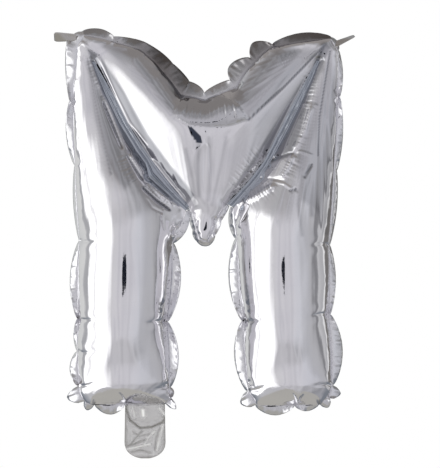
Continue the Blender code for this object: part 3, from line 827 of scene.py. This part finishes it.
def addFolds(place):
    spot = place[:, [0, 2]]
    for height, halfWidth, pleat, _, _, path in folds:
        path = np.array(path, float)
        run = path[-1] - path[0]
        t = ((spot - path[0]) @ run) / (run @ run)
        ends = eased((t + 0.06) / 0.16) * eased((1.06 - t) / 0.16)
        along = t * np.linalg.norm(run)
        jag = 1 + pleat * (0.6 * np.sin(along * 2.3) + 0.4 * np.sin(along * 3.7 + 1))
        place[:, 1] += height * jag * ends * bell(distanceTo(path, spot) / halfWidth)
    fold = pinchFold
    for p, corner, run in zip(allPinches, seamCorners, pinchRuns):
        if p not in leftLeg[1:-1] + rightLeg[1:-1] or p[5] < fold["least"] or p[1] < fold["lowest"]:
            continue
        inward = leftOf(run)
        deep = (spot - corner) @ inward
        beside = (spot - corner) @ leftOf(inward) + 0.8 * np.sin(deep * 0.25)
        fade = eased(1 - deep / fold["reach"]) * (deep > 0)
        place[:, 1] += fold["depth"] * p[5] * fade * bell(beside / fold["halfWidth"])
        place[:, 1] -= fold["belly"] * fade * bell((np.abs(beside) - fold["bellyAt"]) / fold["bellyWidth"])


def addGathers(place):
    # pleats the film, and returns the painted shade in the pleats' hollows
    spot = place[:, [0, 2]]
    hollow = np.zeros(len(place))
    for height, length, halfWidth, path in gathers:
        path = np.array(path, float)
        gap = distanceTo(path, spot)
        close = np.nonzero(gap < 2.5 * halfWidth)[0]
        lengths = pathLengths(path)
        spans = np.array([np.linalg.norm(run) for run in np.diff(path, axis=0)])
        _, stretch, share = nearestOn(path, spot[close])
        along = lengths[stretch] + share * spans[stretch]
        phase = 2 * math.pi * along / length + 1.3 * np.sin(along * 0.45) + 0.12 * gap[close]
        wave = (np.sin(phase) + 0.5 * np.sin(phase * 0.43 + 1)) * (0.7 + 0.3 * np.sin(along * 0.9))
        fade = eased(along / gatherShape["ends"]) * eased((lengths[-1] - along) / gatherShape["ends"])
        fade *= bell(gap[close] / halfWidth)
        place[close, 1] += height * fade * wave
        hollow[close] = np.maximum(hollow[close], gatherShape["shade"] * fade * np.clip(wave, 0, 1))
    return hollow


def foldShade(place):
    # painted shade at each point, from 0 to 1, standing in for the film mirroring itself; bright lines clear
    # it
    spot = place[:, [0, 2]]
    shade = np.zeros(len(place))
    for dark, soft, corners in shadeAreas:
        gap = distanceTo(corners, spot, True)
        inside = np.where(insideLoop(corners, spot), gap, -gap)
        shade = np.maximum(shade, dark * eased(inside / soft + 0.5))
    for dark, halfWidth, path in shadeLines + [fold[3:] for fold in folds if fold[3] > 0]:
        shade = np.maximum(shade, dark * bell(distanceTo(path, spot) / halfWidth))
    for dark, halfWidth, path in [fold[3:] for fold in folds if fold[3] < 0]:
        shade *= 1 + dark * bell(distanceTo(path, spot) / halfWidth)
    return shade


def makeMesh(name, places, faces, material, shades=None, thickness=None):
    # places and thickness in millimetres; a sheet is given its real thickness
    mesh = bpy.data.meshes.new(name)
    mesh.from_pydata((np.asarray(places) * mm).tolist(), [], np.asarray(faces).tolist())
    mesh.validate()
    mesh.shade_smooth()
    mesh.materials.append(material)
    piece = bpy.data.objects.new(name, mesh)
    bpy.context.scene.collection.objects.link(piece)
    if shades is not None:
        values = mesh.attributes.new("shade", "FLOAT", "POINT")
        values.data.foreach_set("value", np.asarray(shades, dtype=np.float32))
    if thickness is not None:
        shell = piece.modifiers.new("thickness", "SOLIDIFY")
        shell.thickness = thickness * mm
        shell.offset = 0
        bpy.context.view_layer.objects.active = piece
        with bpy.context.temp_override(object=piece, active_object=piece, selected_objects=[piece]):
            bpy.ops.object.modifier_apply(modifier=shell.name)
        piece.data.shade_smooth()
    return piece


def gridFaces(rows, columns):
    return [(r * columns + c, r * columns + c + 1, (r + 1) * columns + c + 1, (r + 1) * columns + c)
            for r in range(rows - 1) for c in range(columns - 1)]


def feed(tree, node, sockets):
    # gives a node's inputs, by name or number, a value or the output that each is to follow
    for socket, value in sockets.items():
        if isinstance(value, bpy.types.NodeSocket):
            tree.links.new(value, node.inputs[socket])
        else:
            node.inputs[socket].default_value = value


def addNode(tree, kind, sockets=None, **settings):
    node = tree.nodes.new("ShaderNode" + kind)
    for name, value in settings.items():
        setattr(node, name, value)
    feed(tree, node, sockets or {})
    return node


def mixColours(tree, share, one, two):
    return addNode(tree, "Mix", {"Factor": share, 6: one, 7: two}, data_type="RGBA").outputs[2]


def ramp(tree, source, stops):
    # colours along a run from 0 to 1: each one's place on it, red, green, blue
    node = addNode(tree, "ValToRGB", {"Fac": source})
    marks = node.color_ramp.elements
    while len(marks) < len(stops):
        marks.new(0.5)
    for mark, (position, *colour) in zip(marks, stops):
        mark.position = position
        mark.color = (*colour, 1)
    return node.outputs["Color"]


def newMaterial(name):
    material = bpy.data.materials.new(name)
    material.use_nodes = True
    return material, material.node_tree, material.node_tree.nodes["Principled BSDF"]


def foilMaterial(name, colour, roughness, crinkle, grain, shaded):
    # Metallised film: a mirror with a fine crinkle, grain in crinkles a metre. shaded is the colour of its
    # painted shade, mixed in by the shade attribute deep in a fold, standing in for the film mirroring only
    # itself.
    material, tree, shader = newMaterial(name)
    spot = addNode(tree, "TexCoord").outputs["Object"]

    def noise(scale, detail):
        return addNode(tree, "TexNoise", {"Vector": spot, "Scale": scale, "Detail": detail}).outputs["Fac"]

    def spread(source, low, high):
        sockets = {"Value": source, "From Min": 0.35, "From Max": 0.65, "To Min": low, "To Max": high}
        return addNode(tree, "MapRange", sockets).outputs["Result"]

    duller = (colour[0] * 0.965, colour[1] * 0.965, colour[2] * 0.975, 1)
    tint = mixColours(tree, spread(noise(38, 2), 0, 1), (*colour, 1), duller)
    # painted shade and painted dark reflections, read from the shade attribute
    shade = addNode(tree, "Attribute", attribute_name="shade").outputs["Fac"]
    bump = addNode(tree, "Bump", {"Strength": crinkle, "Distance": 0.0004, "Height": noise(grain, 3)})
    feed(tree, shader, {
        "Metallic": 1.0,
        "Base Color": mixColours(tree, shade, tint, (*shaded, 1)),
        "Roughness": spread(noise(90, 3), roughness * 0.85, roughness * 1.2),
        "Normal": bump.outputs["Normal"],
    })
    return material


clearLook = {                # from a painted glint over the plain film to the darkest: painted shade in a crease, and the sealed edges
    "colour": [(0, 1.0, 1.0, 0.98), (0.5, 0.50, 0.49, 0.495), (1, 0.22, 0.21, 0.185)],
    "cover": [(0, 0.9, 0.9, 0.9), (0.5, 0.36, 0.36, 0.36), (1, 0.7, 0.7, 0.7)],
    "haze": (0.04, 0.14),
}


def clearFilmMaterial(name):
    material, tree, shader = newMaterial(name)
    # painted glints below 0 and painted shade above it, from the shade attribute
    shade = addNode(tree, "Attribute", attribute_name="shade").outputs["Fac"]
    level = addNode(tree, "MapRange", {"Value": shade, "From Min": -1, "From Max": 1}).outputs["Result"]
    spot = addNode(tree, "TexCoord").outputs["Object"]
    cloud = addNode(tree, "TexNoise", {"Vector": spot, "Scale": 120}).outputs["Fac"]
    low, high = clearLook["haze"]
    haze = addNode(tree, "MapRange", {"Value": cloud, "To Min": low, "To Max": high})
    bump = addNode(tree, "Bump", {"Strength": 0.35, "Distance": 0.0005, "Height": cloud})
    feed(tree, shader, {
        "Base Color": ramp(tree, level, clearLook["colour"]),
        "Alpha": ramp(tree, level, clearLook["cover"]),
        "IOR": 1.58,
        "Specular IOR Level": 0.9,
        "Roughness": haze.outputs["Result"],
        "Normal": bump.outputs["Normal"],
    })
    return material


flangeShape = {
    "fullWidth": 9.0,        # real width of the sealed margin, mm; where it folds it looks narrower
    "rows": 7,
    "foldDepth": 0.7,
    "pleat": 0.42,           # radial crinkles, mm
    "crinkles": [(11.3, 0.8), (7.1, 0.6), (4.3, 0.35), (2.6, 0.12)],     # length of each in mm, share
    "crownPleat": 0.45,      # share of them along the crown, where the margin lies smoother
    "crownShade": [          # painted shade, brown, on the margin along the crown: x, share
        (-112, 0.50), (-86, 0.35), (-70, 0.60), (-45, 1.0), (-22, 0.80),
        (0, 0.25), (30, 0.30), (50, 0.75), (66, 0.80), (118, 0.95),
    ],
    "lean": 0.42,            # how steeply a lobe leans out of the flat
    "thickness": 0.14,
}


def seamStations(rimFlat):
    # For each point of the fine rim: the pinch before it and how far on it is to the next. The way round
    # starts with the last stretch, so that a point where two stretches meet goes with the later one.
    loop, owner, share = seamPoints(filmShape["coarsePitch"])
    _, stretch, along = nearestOn(np.roll(loop, 1, axis=0), rimFlat, True, 1e-7)
    k = stretch - 1
    return owner[k], share[k] + along / np.bincount(owner)[owner[k]]


def flangeRibbons(owner, share):
    # the runs of rim points that carry the flange: there is none inside the slits
    ribbons, current = [], []
    for k, i in enumerate(owner):
        if flaps[i] is None or flaps[(i + 1) % len(flaps)] is None:
            if flaps[i] is not None and share[k] < 0.01 and current:
                current.append(k)          # the mouth of a slit ends the ribbon
            if current:
                ribbons.append(current)
            current = []
            continue
        current.append(k)
    ribbons.append(current)
    if ribbons[0][0] == 0 and len(ribbons) > 1:
        ribbons[0] = ribbons.pop() + ribbons[0]      # the way round closes at the first pinch
    return ribbons


def makeFlange(rimPoints, rimFlat, material):
    shape = flangeShape
    rng = np.random.default_rng(11)
    owner, share = seamStations(rimFlat)
    straightOut, pinchOut = -leftOf(seamRuns), -leftOf(pinchRuns)
    arc = pathLengths(rimPoints[:, [0, 2]])
    wave = [(2 * math.pi / length, rng.uniform(0, 6.28), height) for length, height in shape["crinkles"]]
    leanings = [-1 if p in leftLeg[10:] else 1 for p in allPinches]
    places, faces, shades = [], [], []
    rows = shape["rows"]
    for ribbon in flangeRibbons(owner, share):
        faces += (np.array(gridFaces(len(ribbon), rows)) + len(places)).tolist()
        for k in ribbon:
            i, t = owner[k], share[k]
            j = (i + 1) % len(flaps)
            if flaps[j] is None:
                j = i
            swell = max(0.0, math.sin(math.pi * t)) ** 0.7
            turned = pinchOut[i] * (1 - t) + pinchOut[j] * t
            out = unit(straightOut[i] * swell + turned * (1 - swell) + 1e-6)
            width = flaps[i] * (1 - t) + flaps[j] * t + lobes[i] * swell
            full = max(shape["fullWidth"] * (0.75 + 0.25 * swell), width)
            turn = turns[i] * (1 - t) ** 1.5 + turns[j] * t ** 1.5
            lift = turn * shape["foldDepth"] * math.sqrt(max(full ** 2 - width ** 2, 0))
            lift += leanings[i] * shape["lean"] * width * swell
            drift = 1.5 * math.sin(arc[k] * 0.13) + 0.8 * math.sin(arc[k] * 0.37 + 1)
            pleat = sum(height * math.sin(rate * arc[k] + phase + drift) for rate, phase, height in wave)
            x, _, z = rimPoints[k]
            shade = 0
            if i >= len(allPinches) - len(crown):
                pleat *= shape["crownPleat"]
                # painted shade along the crown's margin
                shade = np.interp(x, *zip(*shape["crownShade"]))
            for r in range(rows):
                s = r / (rows - 1)
                reach = width * (s - 0.03 * pleat * s * math.sin(math.pi * s))
                y = lift * s ** 1.6 + shape["pleat"] * pleat * s ** 0.8
                y += 0.25 * math.sin(arc[k] * 0.9 + 5 * s) * s
                places.append((x + out[0] * reach, y, z + out[1] * reach))
                shades.append(shade)
    return makeMesh("sealed_flange", places, faces, material, shades, shape["thickness"])


webShape = {
    "rows": 150,
    "columns": 15,
    "ripple": 1.6,
    "thickness": 0.14,
}


def makeWeb(name, slit, upCount, material):
    # the sealed web that fills a slit, between the two edges of the film
    shape = webShape
    rows, columns = shape["rows"], shape["columns"]

    def evenly(pinches):
        path = np.array([p[:2] for p in pinches], float)
        lengths = pathLengths(path)
        at = np.linspace(0, lengths[-1], rows)
        return np.stack([np.interp(at, lengths, path[:, k]) for k in range(2)], 1)

    places = []
    for r, (legSide, farSide) in enumerate(zip(evenly(slit[:upCount]), evenly(slit[:upCount - 1:-1]))):
        run = r / (rows - 1)
        width = np.linalg.norm(farSide - legSide)
        for c in range(columns):
            s = c / (columns - 1)
            x, z = legSide * (1 - s) + farSide * s
            wave = (0.08 * width * math.cos(4 * math.pi * s + 0.9 * math.sin(5 * run))
                    + 0.05 * width * math.sin(9 * math.pi * s + 3 * run)
                    + 0.10 * math.sin(47 * run + 3 * s + 2 * math.sin(9 * run))
                    + 0.07 * math.sin(88 * run - 4 * s))
            places.append((x, shape["ripple"] * math.sin(math.pi * s) * wave, z))
    return makeMesh(name, places, gridFaces(rows, columns), material, thickness=shape["thickness"])


tabShape = {
    "rows": 22,
    "columns": 9,
    "roundFrom": 0.82,       # the share of its length where the ear's end begins to round off
    "curl": 0.35,
    "thickness": 0.16,
}


def makeTab(name, root, tip, rootHalf, tipHalf, lean, material):
    # A sealed ear from its root to its tip, x and z in mm. lean is how far it has turned out of the flat,
    # in degrees, at the root and at the tip.
    shape = tabShape
    root, tip = np.array(root, float), np.array(tip, float)
    along = unit(tip - root)
    length = np.linalg.norm(tip - root)
    places = []
    for r in range(shape["rows"]):
        s = r / (shape["rows"] - 1)
        half = rootHalf + (tipHalf - rootHalf) * s
        if s > shape["roundFrom"]:
            half *= math.sqrt(max(0.05, 1 - ((s - shape["roundFrom"]) / 0.185) ** 2)) * 0.35 + 0.65
        turn = math.radians(lean[0] + (lean[1] - lean[0]) * s)
        for c in range(shape["columns"]):
            across = (2 * c / (shape["columns"] - 1) - 1) * half
            spot = root + along * length * s + leftOf(along) * across * math.cos(turn)
            curl = shape["curl"] * math.sin(s * 7 + across * 0.5)
            places.append((spot[0], across * math.sin(turn) + curl, spot[1]))
    faces = gridFaces(shape["rows"], shape["columns"])
    return makeMesh(name, places, faces, material, thickness=shape["thickness"])


tailShape = {
    "flatSize": (0.041, 0.054),   # each film as it was cut, in metres
    "centre": -54.5,
    "top": -171.5,
    "bottom": -223.6,
    "topHalf": 18.6,
    "lowHalf": 19.6,
    "roundFrom": -207.0,     # where the rounded end begins
    "puffTop": -181.0,
    "puff": 6.0,             # how far the air trapped at the root swells the films
    "puffLength": 18.0,
    "edgeFrom": -220.5,      # below this the end is darker, where the two films are sealed
    "rows": 110,
    "columns": 80,
    "thickness": 0.1,
}
# creases of the tail: height in mm, half width, how much painted shade or, below 0, painted glint, its points
tailCreases = [
    (1.2, 1.1, 0.75, [(-72.4, -176.2), (-68.6, -187.5), (-59.2, -195), (-47.9, -194.1), (-37.6, -189.4),
        (-32.9, -181.9)]),
    (0.9, 0.9, 0.5, [(-70.5, -212), (-62, -209.1), (-51.7, -205.4)]),
    (-0.8, 1, -0.7, [(-71.4, -214.8), (-62, -212.9), (-49.8, -210.1)]),
    (0.8, 0.9, 0.45, [(-57.3, -197.9), (-63, -204.4), (-67.7, -210.1)]),
    (-0.7, 0.9, -0.6, [(-45.1, -197.9), (-51.7, -204.4), (-55.5, -211)]),
    (0.7, 0.9, 0.4, [(-40.4, -195), (-44.2, -206.3), (-45.1, -215.7)]),
    (-0.8, 1.1, -0.6, [(-37.6, -192.2), (-40.4, -204.4), (-43.2, -215.7)]),
    (0.5, 0.8, 0.35, [(-65.8, -198.8), (-60.2, -202.6), (-49.8, -200.7)]),
    (0.6, 0.9, 0.45, [(-66.7, -217.6), (-58.3, -215.7), (-49.8, -218.5)]),
    # the last three are only painted glints, the pearly highlights on the puff
    (0, 1.9, -1, [(-56.4, -178.1), (-55.9, -182.8)]),
    (0, 1.2, -0.6, [(-40.4, -176.2), (-36.7, -181.9)]),
    (0, 1.1, -0.5, [(-65.8, -176.2), (-63.9, -183.8)]),
]


def makeTailFilm(name, side, material):
    # side is -1 for the front film and 1 for the back one
    shape = tailShape
    top, roundFrom = shape["top"], shape["roundFrom"]
    phases = np.random.default_rng(7 if side < 0 else 8).uniform(0, 6.28, 3)
    places, shades = [], []
    for r in range(shape["rows"]):
        v = r / (shape["rows"] - 1)
        z = top + (shape["bottom"] - top) * v
        half = shape["topHalf"] + (shape["lowHalf"] - shape["topHalf"]) * v
        if z < roundFrom:
            half *= math.sqrt(1 - ((roundFrom - z) / (roundFrom - shape["bottom"] + 0.2)) ** 2.4)
        for c in range(shape["columns"]):
            u = 2 * c / (shape["columns"] - 1) - 1
            x = shape["centre"] + u * half
            down = (top - z) / shape["puffLength"]
            sag = 1 - 0.35 * u * u
            dome = shape["puff"] * math.sqrt(max(0.0, 1 - (down / sag) ** 2)) * (1 - u ** 4) * (down < sag)
            drop = max(0.0, (shape["puffTop"] - z) / 40)
            ripple = 0.5 * math.sin(0.42 * x + 0.31 * z + phases[0])
            ripple += 0.35 * math.sin(0.7 * z - 0.25 * x + phases[1])
            y = side * (0.35 + dome * (1.0 if side < 0 else 0.6))
            places.append((x, y + ripple * (1 - abs(u) ** 6) * min(1.0, 2 * drop) * 0.8, z))
            shades.append(0.8 * abs(u) ** 14 + 0.7 * below(z, shape["edgeFrom"], 3))
    places, shades = np.array(places), np.array(shades)
    spot = places[:, [0, 2]]
    for height, halfWidth, dark, path in tailCreases:
        close = bell(distanceTo(path, spot) / halfWidth)
        places[:, 1] += height * close
        shades += (dark - shades) * close
    faces = gridFaces(shape["rows"], shape["columns"])
    return makeMesh(name, places, faces, material, shades, shape["thickness"])


cameraShape = {
    "pixel": 0.94,           # mm of the object to a pixel of the photo
    "photoWidth": 440,
    "middle": (220, 234),    # pixel in the middle of the photo's frame
    "origin": (203, 220.5),  # pixel where the object's origin is
    "distance": 2.0,
    "sensor": 36,
}


def buildCamera():
    # square on to the front
    shape = cameraShape
    lens = bpy.data.cameras.new("camera")
    lens.sensor_fit = "HORIZONTAL"
    lens.sensor_width = shape["sensor"]
    lens.lens = shape["sensor"] * shape["distance"] / (shape["photoWidth"] * shape["pixel"] * mm)
    camera = bpy.data.objects.new("camera", lens)
    bpy.context.scene.collection.objects.link(camera)
    x, z = shape["middle"][0] - shape["origin"][0], shape["origin"][1] - shape["middle"][1]
    camera.location = (x * shape["pixel"] * mm, -shape["distance"], z * shape["pixel"] * mm)
    camera.rotation_euler = (math.pi / 2, 0, 0)
    bpy.context.scene.camera = camera


# What the foil mirrors. Angles are degrees round from the camera, to its right, each with its red, green and
# blue, linear.
studioShape = {
    "level": [
        (-180, 0.42, 0.42, 0.42), (-150, 0.584, 0.596, 0.59), (-128, 0.683, 0.695, 0.683),
        (-106, 0.72, 0.726, 0.714), (-102, 0.45, 0.456, 0.468), (-95, 0.42, 0.426, 0.438),
        (-92, 0.721, 0.721, 0.727), (-60, 0.801, 0.801, 0.807), (-34, 0.661, 0.655, 0.673),
        (-20, 0.67, 0.663, 0.691), (-14, 0.59, 0.583, 0.618), (-8, 0.669, 0.659, 0.69),
        (4, 0.613, 0.606, 0.641), (14, 0.648, 0.641, 0.676), (20, 0.59, 0.583, 0.618),
        (28, 0.662, 0.659, 0.697), (44, 0.633, 0.64, 0.682), (62, 0.494, 0.497, 0.526),
        (74, 0.48, 0.48, 0.499), (80, 0.404, 0.404, 0.422), (84, 0.243, 0.243, 0.255),
        (88, 0.263, 0.263, 0.275), (91, 0.583, 0.583, 0.595), (99, 0.483, 0.483, 0.495),
        (104, 0.463, 0.463, 0.475), (107, 0.86, 0.86, 0.86), (111, 0.8, 0.8, 0.8),
        (115, 0.195, 0.186, 0.183), (132, 0.185, 0.176, 0.173), (145, 0.36, 0.36, 0.36),
        (180, 0.42, 0.42, 0.42),
    ],
    "high": [
        (-180, 0.35, 0.36, 0.38), (-115, 0.6, 0.61, 0.61), (-104, 0.34, 0.35, 0.36),
        (-94, 0.56, 0.56, 0.57), (-60, 0.48, 0.47, 0.48), (-34, 0.45, 0.45, 0.46), (-24, 0.37, 0.36, 0.37),
        (-14, 0.45, 0.45, 0.46), (-4, 0.36, 0.35, 0.36), (8, 0.43, 0.43, 0.45), (18, 0.31, 0.31, 0.32),
        (30, 0.44, 0.44, 0.46), (42, 0.29, 0.29, 0.3), (56, 0.39, 0.39, 0.41), (70, 0.24, 0.24, 0.25),
        (90, 0.27, 0.26, 0.27), (130, 0.17, 0.17, 0.16), (180, 0.3, 0.31, 0.32),
    ],
    "low": [
        (-180, 0.185, 0.203, 0.233), (-120, 0.195, 0.213, 0.243), (-100, 0.335, 0.353, 0.383),
        (-75, 0.527, 0.533, 0.551), (-30, 0.543, 0.537, 0.561), (-12, 0.583, 0.577, 0.601),
        (2, 0.493, 0.487, 0.511), (12, 0.573, 0.567, 0.591), (22, 0.503, 0.497, 0.521),
        (34, 0.565, 0.565, 0.589), (44, 0.391, 0.391, 0.411), (52, 0.466, 0.466, 0.487),
        (60, 0.309, 0.314, 0.334), (72, 0.377, 0.382, 0.408), (90, 0.215, 0.233, 0.263),
        (180, 0.185, 0.203, 0.233),
    ],
    "overhead": (0.31, 0.29, 0.28),
    "below": (0.45, 0.44, 0.41),
    # laid over level one after the other: where each begins and where it is full, in heights on the ball
    # round the letter, -1 straight down and 1 straight up
    "bands": [
        ("high", 0.2, 0.6),
        ("low", -0.18, -0.42),
        ("overhead", 0.62, 0.8),
        ("below", -0.7, -0.88),
    ],
    "keyAround": [           # the key light, with the thin bar of its frame
        (-93, 0), (-89, 1), (-81, 1), (-79.5, 0.3), (-77, 0.3), (-75.5, 1), (-54, 1), (-44, 0.7), (-31, 0),
    ],
    "keyHeight": (-0.66, -0.52, 0.24, 0.42),
    "keyStrength": 1.5,
}


def stageDisc(name, count, place, material, sockets, unseenBy):
    # a flat disc beside the object; place turns the cosine and sine of an angle into x, y, z in mm
    finish, tree, shader = newMaterial(material)
    feed(tree, shader, sockets)
    turns = np.linspace(0, 2 * math.pi, count, endpoint=False)
    disc = makeMesh(name, [place(math.cos(a), math.sin(a)) for a in turns], [range(count)], finish)
    for rays in unseenBy:
        setattr(disc, "visible_" + rays, False)


def buildStudio():
    studio = studioShape
    scene = bpy.context.scene
    scene.view_settings.view_transform = "Standard"
    scene.world = bpy.data.worlds.new("studio")
    scene.world.use_nodes = True
    tree = scene.world.node_tree
    tree.nodes.clear()
    way = addNode(tree, "SeparateXYZ", {0: addNode(tree, "TexCoord").outputs["Generated"]}).outputs

    def calculate(operation, *values):
        return addNode(tree, "Math", dict(enumerate(values)), operation=operation).outputs[0]

    def rising(low, high):
        sockets = {"Value": way["Z"], "From Min": low, "From Max": high}
        return addNode(tree, "MapRange", sockets, interpolation_type="SMOOTHSTEP").outputs["Result"]

    bearing = calculate("ARCTAN2", way["X"], calculate("MULTIPLY", way["Y"], -1.0))
    turned = calculate("MULTIPLY_ADD", bearing, 1 / (2 * math.pi), 0.5)

    def around(stops):
        return ramp(tree, turned, [(angle / 360 + 0.5, *colour) for angle, *colour in stops])

    walls = around(studio["level"])
    for band, start, full in studio["bands"]:
        look = studio[band]
        walls = mixColours(tree, rising(start, full), walls, around(look) if len(look) > 3 else (*look, 1))
    start, full, end, gone = studio["keyHeight"]
    keyAround = around([(angle, share, share, share) for angle, share in studio["keyAround"]])
    key = calculate("MULTIPLY", keyAround, calculate("MULTIPLY", rising(start, full), rising(gone, end)))
    lit = mixColours(tree, key, walls, (*(studio["keyStrength"],) * 3, 1))
    glossy = addNode(tree, "LightPath").outputs["Is Glossy Ray"]
    # white backdrop, and white light on matt things
    light = addNode(tree, "Background", {"Color": mixColours(tree, glossy, (1.0, 1.0, 1.0, 1), lit)})
    addNode(tree, "OutputWorld", {0: light.outputs[0]})

    # the dark place behind the camera, seen only in the foil, and the floor, which the foil doesn't show
    stageDisc("dark flag", 48, lambda c, s: (10 + 150 * c, -2030, -140 + 130 * s), "dark flag",
              {"Base Color": (0.012, 0.014, 0.022, 1), "Specular IOR Level": 0}, ("diffuse", "camera"))
    stageDisc("floor", 64, lambda c, s: (950 * c, 950 * s, -360), "pale floor",
              {"Base Color": (0.94, 0.94, 0.94, 1), "Roughness": 0.9}, ("glossy",))


buildCamera()
buildStudio()
print("stage: camera and studio")

# the last colour of each foil is the colour of its painted shade
foil = foilMaterial("mirror foil", (0.87, 0.862, 0.88), 0.05, 0.12, 160, (0.035, 0.045, 0.07))
# its last colour, brown, is the painted shade of the crown's margin
sealedFoil = foilMaterial("sealed foil", (0.80, 0.80, 0.82), 0.13, 0.35, 300, (0.16, 0.145, 0.14))
# the webs' darker slate colour is partly the seal's own tone and partly painted shade of the slit's valley
webFoil = foilMaterial("web foil, seal tone and painted valley shade", (0.44, 0.47, 0.52), 0.07, 0.30, 260, (0.16, 0.19, 0.25))
tabFoil = foilMaterial("tab foil", (0.60, 0.58, 0.56), 0.22, 0.3, 300, (0.3, 0.29, 0.28))
clearFilm = clearFilmMaterial("clear film")

place, flat, faces = settleFilm(3)
print("stage: film settled", len(place), "points", len(faces), "triangles",
      "highest", round(-place[:, 1].min(), 1))
rim = rimChain(faces)
addPuffs(place)
addStreaks(place, flat)
addFans(place)
addFolds(place)
hollow = addGathers(place)
place[:, 1] = np.minimum(place[:, 1], 0)
place[rim, 1] = 0
# painted shade from the folds, the areas and lines and the pleats' hollows; the back film carries it too, at
# most 0.6
shade = np.maximum(foldShade(place), hollow)
front = makeMesh("front_film", place, faces, foil, shade)
back = makeMesh("back_film", place * (1, -1, 1), faces[:, ::-1], foil, np.minimum(shade, 0.6))
for piece, node in ((front, "front_panel"), (back, "back_panel")):
    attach(piece, "balloon")
    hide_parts(node)
print("stage: films made")

flange = makeFlange(place[rim], flat[rim], sealedFoil)
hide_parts("seam_flange")
webs = [makeWeb("slit_web_left", leftSlit, 8, webFoil), makeWeb("slit_web_right", rightSlit, 7, webFoil)]
for piece in (flange, *webs):
    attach(piece, "balloon")
print("stage: flange and webs made")

leftTab = makeTab("ear_left", (-119.0, 172.0), (-140, 172.6), 3.2, 5.6, (18, 42), tabFoil)
rightTab = makeTab("ear_right", (124, 165.5), (142.3, 173.6), 5.2, 4.6, (52, 70), tabFoil)
# each ear's placement is baked into its mesh, and the part it stands for is hidden
earFolds = (
    (leftTab, "hanging_tab_left", "tab_left", (-0.12050, 0, 0.17003), (-0.12322, 0, 0.17129)),
    (rightTab, "hanging_tab_right", "tab_right", (0.12655, 0, 0.16744), (0.12919, 0, 0.16888)),
)
for piece, node, body, foldStart, foldEnd in earFolds:
    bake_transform(piece)
    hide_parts(node)
print("stage: ears made")

for name, side, node in (("tail_front", -1, "tail_film_front"), ("tail_back", 1, "tail_film_back")):
    film = makeTailFilm(name, side, clearFilm)
    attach(film, "tail")
    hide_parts(node)
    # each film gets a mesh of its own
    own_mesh(film)
print("stage: tail made")
